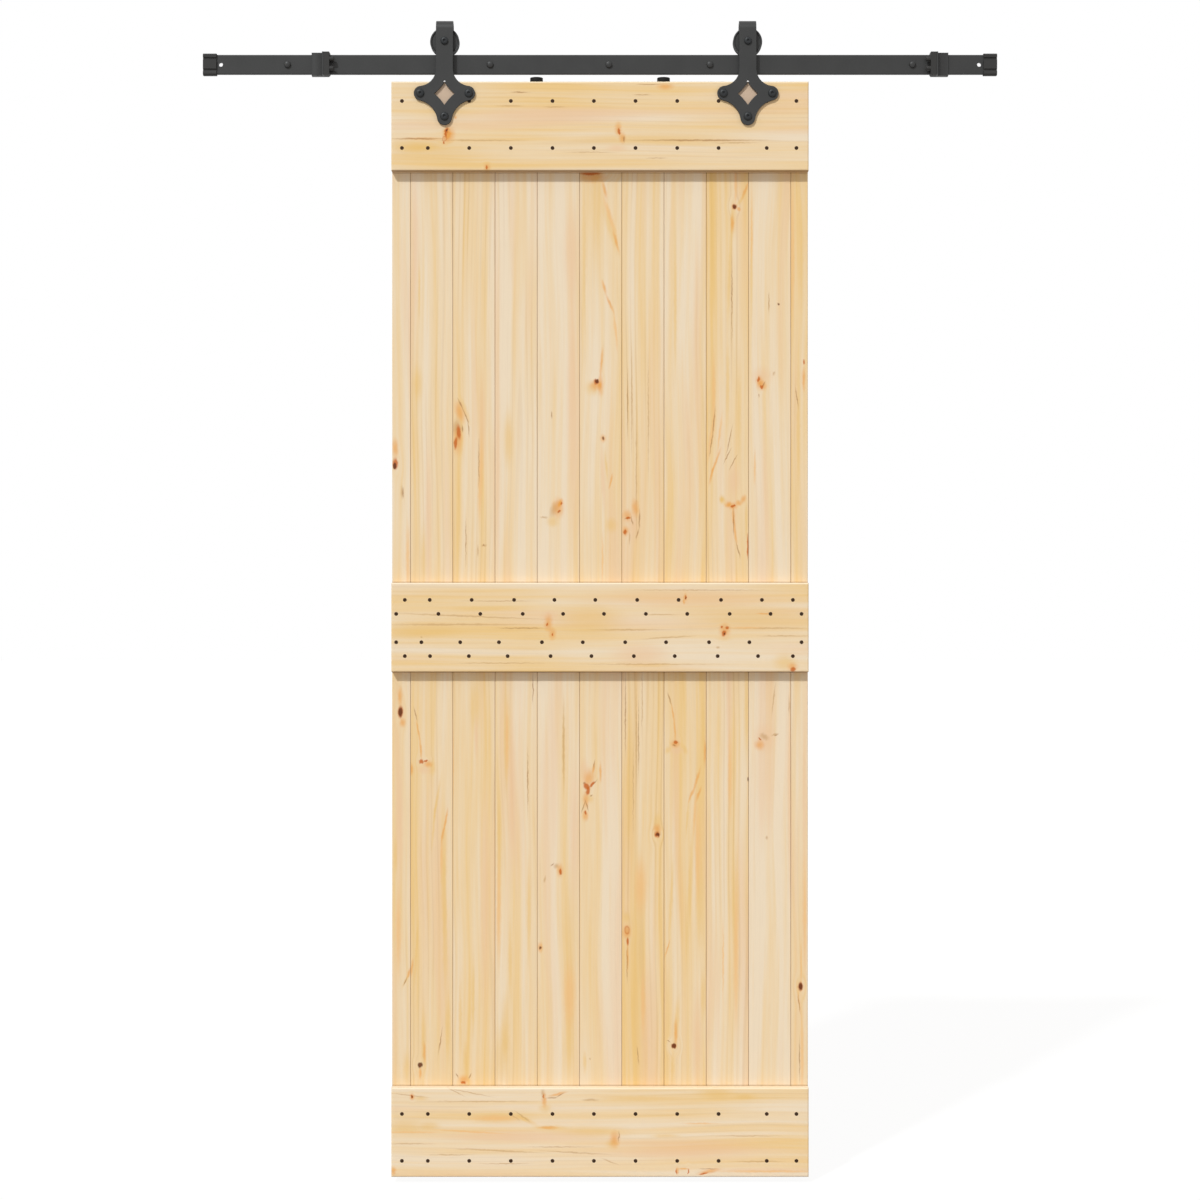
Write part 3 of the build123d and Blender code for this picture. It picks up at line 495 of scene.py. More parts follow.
class Graph:
    """The nodes of a material or a world."""

    def __init__(self, owner):
        owner.use_nodes = True
        self.tree = owner.node_tree
        self.tree.nodes.clear()

    def node(self, kind, sockets=(), output=0, **settings):
        """Add a node: its settings first, then values or links for its sockets."""
        made = self.tree.nodes.new(kind)
        for name, value in settings.items():
            setattr(made, name, value)
        for key, value in dict(sockets).items():
            if isinstance(value, Wire):
                self.tree.links.new(value.socket, made.inputs[key])
            else:
                made.inputs[key].default_value = value
        return Wire(self, made.outputs[output]) if made.outputs else None

    def math(self, operation, *values):
        """A Math node."""
        return self.node("ShaderNodeMath", enumerate(values), operation=operation)

    def mix(self, factor, first, second):
        """A mix of two colours, given as wires or as three linear values."""
        first, second = (tint if isinstance(tint, Wire) else (*tint, 1.0) for tint in (first, second))
        return self.node("ShaderNodeMix", {0: factor, 6: first, 7: second}, 2, data_type="RGBA",
                         clamp_factor=True)

    def place(self):
        """Where a point lies, in the door's own frame."""
        return self.node("ShaderNodeTexCoord", output="Object")

    def vector(self, *parts):
        """A place made of up to three values."""
        return self.node("ShaderNodeCombineXYZ", enumerate(parts))

    def scaled(self, place, by):
        """A place, scaled by one number for each axis."""
        return self.node("ShaderNodeVectorMath", {0: place, 1: by}, operation="MULTIPLY")

    def noise(self, place, scale, detail=2.0, roughness=0.5):
        """Soft noise, about 0.5 on the whole."""
        return self.node("ShaderNodeTexNoise", {"Vector": place, "Scale": scale, "Detail": detail,
                                                "Roughness": roughness})

    def rise(self, value, low, high):
        """0 below low and 1 above high, with a smooth slope between."""
        return self.node("ShaderNodeMapRange", {0: value, 1: low, 2: high},
                         interpolation_type="SMOOTHSTEP")

    def fade(self, place, centre, half, turn, reach, core, strength):
        """An oval spot: its strength in its middle, down to nothing round it."""
        local = self.node("ShaderNodeMapping", {"Vector": place, "Location": centre,
                                                "Rotation": (0, turn, 0), "Scale": half},
                          vector_type="TEXTURE")
        away = self.node("ShaderNodeVectorMath", {0: local}, "Value", operation="LENGTH")
        spot = self.node("ShaderNodeMapRange", {0: away, 1: reach, 2: core, 4: strength},
                         interpolation_type="SMOOTHSTEP")
        return local, away, spot

    def bump(self, height, strength, distance):
        """A normal tilted by a height."""
        return self.node("ShaderNodeBump", {"Strength": strength, "Distance": distance,
                                            "Height": height})

    def surface(self, **sockets):
        """The principled shader, with its output. Underscores in a name stand for spaces."""
        named = {name.replace("_", " "): value for name, value in sockets.items()}
        shader = self.node("ShaderNodeBsdfPrincipled", named)
        self.node("ShaderNodeOutputMaterial", {"Surface": shader})


def new_graph(name):
    """A new material and its empty graph."""
    material = bpy.data.materials.new(name)
    return material, Graph(material)


def marks_of(graph, node, place, upright):
    """The marks of one piece: how strongly each kind shows, and the push of the knots on the grain."""
    shown = dict.fromkeys(MARK_KINDS, 0.0)
    push = 0.0
    listed = [(kind, *mark) for kind, group in MARKS[node].items() for mark in group]
    for kind, x, z, half_across, half_along, *lean in listed:
        turn = math.atan(lean[0]) if lean else 0.0
        wide, high = (half_across, half_along) if upright else (half_along, half_across)
        half = (wide / 1000, 1e3, high / 1000)
        centre = (x / 1000, 0, z / 1000)
        turn = turn if upright else -turn
        ringed = kind == "ring"
        tint, strength, reach, core, pushing = MARK_KINDS["ember" if ringed else kind]
        local, away, spot = graph.fade(place, centre, half, turn, reach, core, strength)
        if ringed:
            spot = spot - graph.rise(away, 0.85, 0.45) * (strength - 0.12)
            kind = "ember"
        shown[kind] = shown[kind] + spot
        if pushing and half_across > SMALLEST_KNOT:
            parts = graph.node("ShaderNodeSeparateXYZ", {0: local})
            aside = parts.output("X" if upright else "Z")
            bend = graph.rise(away, 5.0, 0.0) * (pushing * half_across / 1000)
            push = push + graph.math("MINIMUM", graph.math("MAXIMUM", aside, -1.5), 1.5) * bend
    return shown, push


def seams_and_shade_of(graph, node, across, along, into, low, high):
    """Where a board meets its neighbours and, on its front, the ledges that lie on it: the joints' own dark
    together with painted shade in them.
    """
    right = high.x - (TONGUE if node != "right_edge_board" else 0.0)
    seam = 0.0
    # The dark at the joints with the neighbouring boards is partly the joint's own and partly painted shade
    # in its groove
    if node != "left_edge_board":
        seam = seam + graph.rise(across, low.x + 0.0009, low.x + 0.0004) * SEAM_STRENGTH
    if node != "right_edge_board":
        seam = seam + graph.rise(across, right - 0.0007, right - 0.0003) * SEAM_STRENGTH
    # Painted shade, with a little of the joint's own dark: lines on the board's front along the top and
    # bottom edges of each ledge
    front = graph.rise(into, low.y + 0.002, low.y + 0.001) * 0.5
    for ledge in LEDGES:
        for edge, side in zip(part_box(ledge), (-1, 1)):
            past = graph.math("ABSOLUTE", along - (edge.z + side * 0.0008))
            seam = seam + graph.rise(past, 0.0018, 0.0009) * front
    return graph.math("MINIMUM", seam, SEAM_MOST)


def pine(node):
    """Bare pine for one board or ledge, with its own grain, tone and knots, and painted shade and highlight
    at its joints and edges.
    """
    look = bpy.context.scene.plank_pine
    material, graph = new_graph(f"pine_{node}")
    low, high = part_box(node)
    upright = node in UPRIGHTS
    seed = 7.3 * (UPRIGHTS + LEDGES).index(node)
    upper, lower, figure = TONES[node]
    place = graph.place()
    axes = graph.node("ShaderNodeSeparateXYZ", {0: place})
    across, along = (axes.output(name) for name in ("XZ" if upright else "ZX"))
    centre = (low.x + high.x) / 2 if upright else (low.z + high.z) / 2
    depth = axes.output("Y") - high.y

    # Marks, with outlines that waver a little
    stretch = (1, 1, 0.45) if upright else (0.45, 1, 1)
    waver = graph.node("ShaderNodeTexNoise", {"Vector": graph.scaled(place, stretch),
                                              "Scale": WAVER_SCALE, "Detail": 2.0}, "Color")
    shift = graph.node("ShaderNodeVectorMath", {0: waver, 1: (0.5, 0.5, 0.5)},
                       operation="SUBTRACT")
    by = (WAVER_ACROSS, 0, WAVER_ALONG) if upright else (WAVER_ALONG, 0, WAVER_ACROSS)
    ragged = graph.node("ShaderNodeVectorMath", {0: graph.scaled(shift, by), 1: place},
                        operation="ADD")
    shown, push = marks_of(graph, node, ragged, upright)

    # The grain: rings round a pith that wanders below the face
    def drawn_out(crowding, stretch, aside=0.0, shift=0.0, detail=1, roughness=0.5):
        """Noise that flows round the knots, by its waves in a metre across the grain and along it."""
        at = graph.vector(flow * crowding + aside, seed + shift, along * stretch)
        return graph.noise(at, 1.0, detail, roughness)

    def threads(crowding, stretch):
        """Straight fine fibres, which go on into the depth of the wood."""
        at = graph.vector(across * crowding, depth * crowding, along * stretch + seed)
        return graph.noise(at, 1.0, 2)

    stray = graph.noise(graph.vector(along * 1.6 + seed, seed, across * 3.0), 1.0, 1)
    flow = across - centre + (stray - 0.5) * (2 * look.wander) - push
    pith = graph.noise(graph.vector(along * 0.9, seed + 5), 1.0, 0) * PITH_WANDER + PITH_DEPTH
    aslant = flow - math.sin(seed) * PITH_ASIDE
    radius = graph.math("SQRT", aslant * aslant + (pith + depth) * (pith + depth))
    ring = graph.math("SINE", radius * (2 * math.pi / look.ring_width) + threads(160, 5) * 1.8)
    broad = drawn_out(46, 1.3, detail=3, roughness=0.62)
    pink = graph.rise(drawn_out(34, 1.8, 9, 3), 0.50, 0.74)
    show = graph.rise(drawn_out(26, 2.2, 3), 0.44, 0.70)
    line = graph.rise(ring, 0.35, 1.0) * (show * 0.85 + 0.08) * figure
    fibre = threads(900, 16)

    # Colour
    if upright:
        warmth = graph.rise(along, low.z, high.z) * (upper - lower) + lower
    else:
        warmth = graph.noise(graph.scaled(place, (3.0, 0, 9)), 1.0, 1) * 0.9 + (upper - 0.45)
    tone = warmth + (broad - 0.5) * (2.6 * look.banding) + ring * (0.07 * figure)
    wood = graph.mix(tone, look.cream, look.honey)
    wood = graph.mix(pink * 0.42, wood, look.blush)
    wood = graph.mix(line * 0.17, wood, look.latewood)
    wood = graph.mix(graph.rise(fibre, 0.52, 0.80) * 0.07, wood, look.latewood)
    for kind, (tint, *_) in MARK_KINDS.items():
        if isinstance(shown[kind], Wire):
            factor = graph.math("MINIMUM", shown[kind], 0.97)
            wood = graph.mix(factor, wood, getattr(look, tint))
    if upright:
        seams_and_shade = seams_and_shade_of(graph, node, across, along, axes.output("Y"), low, high)
        wood = graph.mix(seams_and_shade, wood, look.seam)
    else:
        # Painted highlight: the upper edge of a ledge made paler, as if lit from above
        highlit = graph.rise(across, high.z - 0.0038, high.z - 0.0014)
        wood = graph.mix(highlit * 0.55, wood, look.edge)
        # Painted shade: the ledge's lower rim darkened towards its front, as where no light reaches it
        under = graph.rise(across, low.z + 0.0008, low.z + 0.0003)
        outer = graph.rise(axes.output("Y"), high.y - 0.004, high.y - 0.010)
        wood = graph.mix(under * outer * 0.85, wood, look.seam)

    relief = fibre * 0.5 - line * 0.5
    graph.surface(
        Base_Color=wood,
        Roughness=(fibre - 0.5) * 0.16 + look.roughness,
        Specular_IOR_Level=0.3,
        Normal=graph.bump(relief, 0.35, 0.0003),
    )
    return material


def coated(name, tint, roughness, grit=1300.0, depth=0.00004, metallic=0.0, shine=0.5):
    """Coated metal or a moulding: a tint with faint clouds, and a skin that is never quite smooth.

    grit is the number of grains in a metre, depth how deep they are, in metres.
    """
    material, graph = new_graph(name)
    place = graph.place()
    clouds = graph.noise(place, 24, 3)
    skin = graph.noise(place, grit, 2)
    paler = tuple(min(1.0, part * 1.22 + 0.002) for part in tint)
    darker = tuple(part * 0.80 for part in tint)
    graph.surface(
        Base_Color=graph.mix(clouds * 0.75 + skin * 0.25, darker, paler),
        Roughness=clouds * 0.14 + skin * 0.06 + (roughness - 0.10),
        Metallic=metallic,
        Specular_IOR_Level=shine,
        Normal=graph.bump(skin, 0.6, depth),
    )
    return material


def finish_of(name):
    """A finish of the hardware, made once."""
    if name in bpy.data.materials:
        return bpy.data.materials[name]
    tint, settings = FINISHES[name][1:]
    steel = bpy.context.scene.plank_steel
    settings = {"tint": getattr(steel, tint), "roughness": steel.roughness, **settings}
    return coated(name, **settings)


# Mesh helpers. Turned pieces are made about Z, and TOWARDS_ROOM points their Z to the front.

TOWARDS_ROOM = Matrix.Rotation(math.radians(90), 4, "X")
TOWARDS_WALL = Matrix.Rotation(math.radians(-90), 4, "X")


def turned(profile, steps=None, closed=False):
    """A mesh turned about Z from points (radius, height), in millimetres."""
    steps = steps or bpy.context.scene.plank_hardware.turn_steps
    mesh = bmesh.new()
    points = [mesh.verts.new((radius / 1000, 0, height / 1000)) for radius, height in profile]
    ends = points[1:] + points[:1] if closed else points[1:]
    lines = [mesh.edges.new(pair) for pair in zip(points, ends)]
    bmesh.ops.spin(mesh, geom=points + lines, cent=(0, 0, 0), axis=(0, 0, 1), angle=2 * math.pi,
                   steps=steps, use_merge=True)
    bmesh.ops.remove_doubles(mesh, verts=mesh.verts, dist=1e-6)
    bmesh.ops.recalc_face_normals(mesh, faces=mesh.faces)
    return mesh


def six_sided(mesh, radius, tilt=0.0):
    """Move the ring of points at a radius, in millimetres, out onto a hexagon around it.

    With a tilt, points that go out sink towards the middle height, as on a nut's chamfer.
    """
    middle = sum(vert.co.z for vert in mesh.verts) / len(mesh.verts)
    for vert in mesh.verts:
        if abs(vert.co.xy.length - radius / 1000) < 2e-6:
            angle = math.atan2(vert.co.y, vert.co.x) % math.radians(60) - math.radians(30)
            out = 1 / math.cos(angle)
            sink = (out - 1) * radius / 1000 * tilt
            vert.co.z -= math.copysign(sink, vert.co.z - middle)
            vert.co.xy *= out
    return mesh


def thread(mesh, radius, depth, pitch, low, high, steps=24):
    """Add a helical ridge to a mesh, between two heights, in metres."""
    turns = int((high - low - pitch) / pitch)
    root = radius - depth
    points = [mesh.verts.new(place) for place in
              ((root * 0.97, 0, low), (radius, 0, low + pitch * 0.42), (radius, 0, low + pitch * 0.52),
               (root * 0.97, 0, low + pitch * 0.94))]
    lines = [mesh.edges.new(pair) for pair in zip(points, points[1:] + points[:1])]
    spun = bmesh.ops.spin(mesh, geom=points + lines, cent=(0, 0, 0), axis=(0, 0, 1),
                          dvec=(0, 0, pitch / steps), angle=2 * math.pi * turns, steps=steps * turns)
    last = [part for part in spun["geom_last"] if isinstance(part, bmesh.types.BMEdge)]
    bmesh.ops.contextual_create(mesh, geom=lines)
    bmesh.ops.contextual_create(mesh, geom=last)
    bmesh.ops.recalc_face_normals(mesh, faces=mesh.faces)
    return mesh


def set_out(template, places, turn=TOWARDS_ROOM):
    """One copy of a mesh at each place, in metres."""
    pattern = bpy.data.meshes.new("pattern")
    template.to_mesh(pattern)
    template.free()
    group = bmesh.new()
    for place in places:
        have = len(group.verts)
        group.from_mesh(pattern)
        group.verts.ensure_lookup_table()
        bmesh.ops.transform(group, matrix=Matrix.Translation(place) @ turn, verts=group.verts[have:])
    bpy.data.meshes.remove(pattern)
    return group


def solid_copy(node):
    """A merged copy of a node's mesh, its flat faces in one piece."""
    mesh = bmesh.new()
    mesh.from_mesh(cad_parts[node].data)
    bmesh.ops.remove_doubles(mesh, verts=mesh.verts, dist=1e-5)
    bmesh.ops.dissolve_limit(mesh, angle_limit=math.radians(1), verts=mesh.verts, edges=mesh.edges)
    return mesh


def islands(mesh):
    """The separate shells of a mesh, each a list of its points."""
    left, found = set(mesh.verts), []
    while left:
        shell, edge = set(), [left.pop()]
        while edge:
            vert = edge.pop()
            shell.add(vert)
            near = {line.other_vert(vert) for line in vert.link_edges} & left
            left -= near
            edge.extend(near)
        found.append(list(shell))
    return found


def centres(node):
    """The middle of each separate solid in a node, from left to right and from the top down."""
    mesh = solid_copy(node)
    found = []
    for shell in islands(mesh):
        low = Vector(min(vert.co[axis] for vert in shell) for axis in range(3))
        high = Vector(max(vert.co[axis] for vert in shell) for axis in range(3))
        found.append((low, high))
    mesh.free()
    found.sort(key=lambda box: (round(box[0].x, 3), -round(box[0].z, 3)))
    return found


def fronts(node):
    """For each solid in a node, the point on its axis at its front face."""
    return [Vector(((low.x + high.x) / 2, low.y, (low.z + high.z) / 2)) for low, high in centres(node)]


def finished(mesh, name, finish, body, *nodes, soften=0.0, sharp=34.0):
    """Make a mesh a piece of the door that rides on a body and stands for its nodes."""
    data = bpy.data.meshes.new(name)
    mesh.to_mesh(data)
    mesh.free()
    data.shade_smooth()
    data.set_sharp_from_angle(angle=math.radians(sharp))
    data.materials.append(finish_of(finish))
    piece = bpy.data.objects.new(name, data)
    bpy.context.scene.collection.objects.link(piece)
    if soften:
        edges = piece.modifiers.new("broken edges", "BEVEL")
        edges.width = soften
        edges.segments = 2
        edges.limit_method = "ANGLE"
        edges.angle_limit = math.radians(40)
        edges.use_clamp_overlap = False
        edges.harden_normals = True
    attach(piece, body)
    if nodes:
        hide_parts(*nodes)
    return piece


def dress(node, material):
    """Give a CAD node its finish."""
    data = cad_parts[node].data
    data.materials.clear()
    data.materials.append(material)


# Pieces


class PLANKDOOR_OT_boards(Operator):
    """Give each upright board its own pine"""

    bl_idname = "plankdoor.boards"
    bl_label = "Boards"

    def execute(self, context):
        for node in UPRIGHTS:
            dress(node, pine(node))
        return {"FINISHED"}


class PLANKDOOR_OT_ledges(Operator):
    """Give each ledge its own pine, with the grain along it"""

    bl_idname = "plankdoor.ledges"
    bl_label = "Ledges"

    def execute(self, context):
        for node in LEDGES:
            dress(node, pine(node))
        return {"FINISHED"}


class PLANKDOOR_OT_wood_screws(Operator):
    """Make the dark screws that hold the boards to the ledges"""

    bl_idname = "plankdoor.wood_screws"
    bl_label = "Wood Screws"

    def execute(self, context):
        profile = [(0, 0.06), (1.05, 0.06), (1.25, 0.40), (2.7, 0.45), (3.5, 0.25), (3.75, 0.02),
                   (3.6, -0.3), (1.75, -3.0), (1.75, -31.0), (0, -35.0)]
        for ledge in LEDGES:
            screw = six_sided(turned(profile, 12), 1.25)
            group = set_out(screw, fronts(f"{ledge}_screws"))
            finished(group, f"{ledge}_wood_screws", "bronze_coat", "door", f"{ledge}_screws", sharp=30)
        return {"FINISHED"}


class PLANKDOOR_OT_hangers(Operator):
    """Make the bent straps with their star plates"""

    bl_idname = "plankdoor.hangers"
    bl_label = "Hangers"

    def execute(self, context):
        edge = context.scene.plank_steel.edge
        for side in ("left", "right"):
            finished(solid_copy(f"hanger_{side}"), f"{side}_hanger", "track_coat", "door",
                     f"hanger_{side}", soften=edge, sharp=38)
        return {"FINISHED"}


class PLANKDOOR_OT_wheels(Operator):
    """Turn the grooved wheels"""

    bl_idname = "plankdoor.wheels"
    bl_label = "Wheels"

    def execute(self, context):
        hardware = context.scene.plank_hardware
        dish, rim = hardware.wheel_dish * 1000, hardware.wheel_rim * 1000
        half = [(11.0, 7.9), (11.4, 8.3), (13.6, 8.3), (14.2, 9.0 - dish), (28 - rim - 0.9, 9.0 - dish),
                (28 - rim, 8.8), (28 - rim + 0.3, 9.0), (26.9, 9.0), (27.7, 8.7), (28.0, 7.9),
                (28.0, 4.6), (27.7, 3.9), (27.0, 3.55), (24.3, 3.5), (23.7, 3.2), (23.5, 2.6)]
        profile = half + [(radius, -height) for radius, height in reversed(half)]
        for side in ("left", "right"):
            low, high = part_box(f"wheel_{side}")
            wheel = set_out(turned(profile, 96, closed=True), [(low + high) / 2])
            finished(wheel, f"{side}_grooved_wheel", "track_coat", f"{side}_wheel", f"wheel_{side}")
        return {"FINISHED"}


class PLANKDOOR_OT_bearings(Operator):
    """Turn the bearings that the wheels run on"""

    bl_idname = "plankdoor.bearings"
    bl_label = "Bearings"

    def execute(self, context):
        outer = [(6.35, 3.1), (9.3, 3.1), (9.5, 3.5), (10.7, 3.5), (11.0, 3.2)]
        inner = [(4.05, 11.85), (4.2, 12.0), (5.85, 12.0), (6.05, 11.8)]
        for side in ("left", "right"):
            for name, half, body in (("outer", outer, f"{side}_wheel"), ("inner", inner, "door")):
                low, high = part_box(f"bearing_{name}_{side}")
                profile = half + [(radius, -height) for radius, height in reversed(half)]
                ring = set_out(turned(profile, closed=True), [(low + high) / 2])
                finished(ring, f"{side}_bearing_{name}_ring", "ground_steel", body,
                         f"bearing_{name}_{side}")
        return {"FINISHED"}


def button_head(radius, height, socket, shank, length):
    """The profile of a domed head with a socket, above a shank. Heights are from the head's foot."""
    half_socket = socket / 2
    dome = []
    for step in range(7):
        angle = math.radians(90 * step / 6)
        dome.append((half_socket + 0.9 + (radius - half_socket - 0.9) * math.sin(angle),
                     0.7 + (height - 0.7) * math.cos(angle)))
    return [(0, height - 2.6), (half_socket, height - 2.4), (half_socket, height - 0.05),
            (half_socket + 0.6, height), *dome, (radius, 0.2), (radius - 0.2, 0), (shank, 0),
            (shank, -length + 0.6), (shank - 0.6, -length), (0, -length)]


class PLANKDOOR_OT_axles(Operator):
    """Make the axle bolts and their nuts"""

    bl_idname = "plankdoor.axles"
    bl_label = "Axle Bolts and Nuts"

    def execute(self, context):
        hardware = context.scene.plank_hardware
        head, height = 7.4, 4.5
        places = fronts("axle_bolts")
        low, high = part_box("axle_bolts")
        length = (high.y - low.y) * 1000 - height
        profile = button_head(head, height, hardware.axle_socket * 1000, SHANK * 1000, length)
        bolt = six_sided(turned(profile), hardware.axle_socket * 500)
        for vert in bolt.verts:
            if vert.co.z < -PLAIN and abs(vert.co.xy.length - SHANK) < 1e-5:
                vert.co.xy *= FINE_ROOT
        thread(bolt, SHANK, FINE_DEPTH, hardware.fine_pitch, 0.0004 - length / 1000, 0.0008 - PLAIN)
        seats = [place + Vector((0, height / 1000, 0)) for place in places]
        finished(set_out(bolt, seats), "axle_bolts_turned", "fastener_coat", "door", "axle_bolts")

        low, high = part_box("axle_nuts")
        thick = (high.y - low.y) * 1000
        flats = 6.5
        profile = [(4.1, 0.5), (4.6, 0), (flats - 0.5, 0), (flats, 0.15), (flats, thick - 0.15),
                   (flats - 0.5, thick), (4.6, thick), (4.1, thick - 0.5)]
        nut = six_sided(turned(profile, closed=True), flats, 0.55)
        backs = [Vector((place.x, low.y, place.z)) for place in places]
        finished(set_out(nut, backs, TOWARDS_WALL), "axle_nuts_formed", "fastener_coat", "door",
                 "axle_nuts", sharp=30)
        return {"FINISHED"}


class PLANKDOOR_OT_plate_screws(Operator):
    """Make the domed screws that hold the star plates"""

    bl_idname = "plankdoor.plate_screws"
    bl_label = "Plate Screws"

    def execute(self, context):
        socket = context.scene.plank_hardware.plate_socket
        height = 4.0
        profile = button_head(8.0, height, socket * 1000, 3.15, 37.0)
        screw = six_sided(turned(profile), socket * 500)
        seats = [place + Vector((0, height / 1000, 0)) for place in fronts("plate_screws")]
        finished(set_out(screw, seats), "plate_screws_turned", "fastener_coat", "door", "plate_screws")
        return {"FINISHED"}


class PLANKDOOR_OT_anti_jump(Operator):
    """Make the discs that keep the wheels from jumping off, and their screws"""

    bl_idname = "plankdoor.anti_jump"
    bl_label = "Anti-Jump Discs"

    def execute(self, context):
        disc = [(2.55, 0), (11.9, 0), (12.25, 0.35), (12.25, 8.25), (12.15, 8.6), (11.8, 8.7),
                (5.4, 8.7), (4.85, 8.3), (4.8, 5.7), (2.55, 5.7)]
        feet = [Vector(((low.x + high.x) / 2, (low.y + high.y) / 2, low.z))
                for low, high in centres("anti_jump_discs")]
        discs = set_out(turned(disc, closed=True), feet, Matrix.Identity(4))
        finished(discs, "anti_jump_discs_moulded", "disc_moulding", "door", "anti_jump_discs")
        screw = [(0, 6.6), (1.5, 6.6), (1.6, 8.6), (3.6, 8.7), (4.4, 8.2), (4.5, 7.5), (4.5, 5.7),
                 (2.25, 5.7), (2.25, -28.3), (0, -31.3)]
        screws = set_out(six_sided(turned(screw, 24), 1.6), feet, Matrix.Identity(4))
        finished(screws, "disc_screws_turned", "ground_steel", "door", "disc_screws")
        return {"FINISHED"}


class PLANKDOOR_OT_rail(Operator):
    """Coat the flat bar"""

    bl_idname = "plankdoor.rail"
    bl_label = "Rail"

    def execute(self, context):
        dress("rail", finish_of("track_coat"))
        return {"FINISHED"}


class PLANKDOOR_OT_rail_bolts(Operator):
    """Make the domed wall bolts and the spacers behind the rail"""

    bl_idname = "plankdoor.rail_bolts"
    bl_label = "Wall Bolts and Spacers"

    def execute(self, context):
        hardware = context.scene.plank_hardware
        depth, pitch = hardware.thread_depth, hardware.thread_pitch
        shank, root = SHANK * 1000, (SHANK - depth) * 1000
        slopes = [math.radians(15 * step) for step in range(7)]
        dome = [(6.4 * math.sin(slope), 0.9 + 4.1 * abs(math.cos(slope)) ** 0.6) for slope in slopes]
        profile = dome + [(6.5, 0.6), (6.5, 0), (shank, 0), (shank, -43.0), (root, -43.8),
                          (root, -76.0), (1.6, -82.5), (0.5, -86.0), (0, -86.0)]
        bolt = thread(turned(profile), SHANK, depth, pitch, -0.0765, -0.0432)
        places = [place + Vector((0, BOLT_HEAD, 0)) for place in fronts("rail_bolts")]
        finished(set_out(bolt, places), "wall_bolts_turned", "track_coat", "rail", "rail_bolts")
        tube = [(5.0, 0.4), (5.4, 0), (9.6, 0), (10.0, 0.4), (10.0, 34.6), (9.6, 35), (5.4, 35),
                (5.0, 34.6)]
        seats = [place + Vector((0, BAR, 0)) for place in places]
        finished(set_out(turned(tube, closed=True), seats, TOWARDS_WALL), "spacers_turned",
                 "track_coat", "rail", "rail_spacers")
        return {"FINISHED"}


class PLANKDOOR_OT_stops(Operator):
    """Make the stop clips, their buffers and set screws"""

    bl_idname = "plankdoor.stops"
    bl_label = "Stops"

    def execute(self, context):
        edge = context.scene.plank_steel.edge
        nub = [(0, 9.0), (2.6, 8.9), (3.8, 8.3), (4.4, 7.2), (4.5, 6.0), (4.5, -1.0), (0, -1.0)]
        for side, inward in (("left", 1), ("right", -1)):
            finished(solid_copy(f"stop_clip_{side}"), f"{side}_stop_clip", "track_coat", "rail",
                     f"stop_clip_{side}", sharp=8)
            low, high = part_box(f"stop_buffer_{side}")
            face = low.x + NUB_FOOT if inward > 0 else high.x - NUB_FOOT
            block = solid_copy(f"stop_buffer_{side}")
            bmesh.ops.bisect_plane(block, geom=[*block.verts, *block.edges, *block.faces],
                                   dist=1e-6, plane_co=(face + inward * 2e-5, 0, 0),
                                   plane_no=(inward, 0, 0), clear_outer=True)
            bmesh.ops.holes_fill(block, edges=block.edges, sides=0)
            bmesh.ops.dissolve_limit(block, angle_limit=math.radians(1), verts=block.verts,
                                     edges=block.edges)
            finished(block, f"{side}_stop_buffer", "moulding", "rail", f"stop_buffer_{side}",
                     soften=edge, sharp=38)
            point = Matrix.Rotation(math.radians(90 * inward), 4, "Y")
            places = [(face, low.y + NUB_INSET, height) for height in (NUB_HEIGHT, -NUB_HEIGHT)]
            finished(set_out(turned(nub, 32), places, point), f"{side}_stop_nubs", "moulding", "rail",
                     f"stop_buffer_{side}", sharp=40)
        screw = [(0, -3.2), (1.5, -3.0), (1.5, -0.1), (1.8, 0), (2.6, 0), (3.0, -0.4), (3.0, -5.6),
                 (2.6, -6.0), (0, -6.0)]
        backs = [Vector(((low.x + high.x) / 2, high.y, (low.z + high.z) / 2))
                 for low, high in centres("stop_set_screws")]
        screws = set_out(six_sided(turned(screw, 24), 1.5), backs, TOWARDS_WALL)
        finished(screws, "stop_set_screws_turned", "fastener_coat", "rail", "stop_set_screws")
        return {"FINISHED"}


class PLANKDOOR_OT_end_caps(Operator):
    """Make the grooved caps on the rail's ends"""

    bl_idname = "plankdoor.end_caps"
    bl_label = "End Caps"

    def execute(self, context):
        edge = context.scene.plank_steel.edge
        for side in ("left", "right"):
            finished(solid_copy(f"end_cap_{side}"), f"{side}_end_cap", "moulding", "rail",
                     f"end_cap_{side}", soften=edge * 0.7, sharp=38)
        return {"FINISHED"}


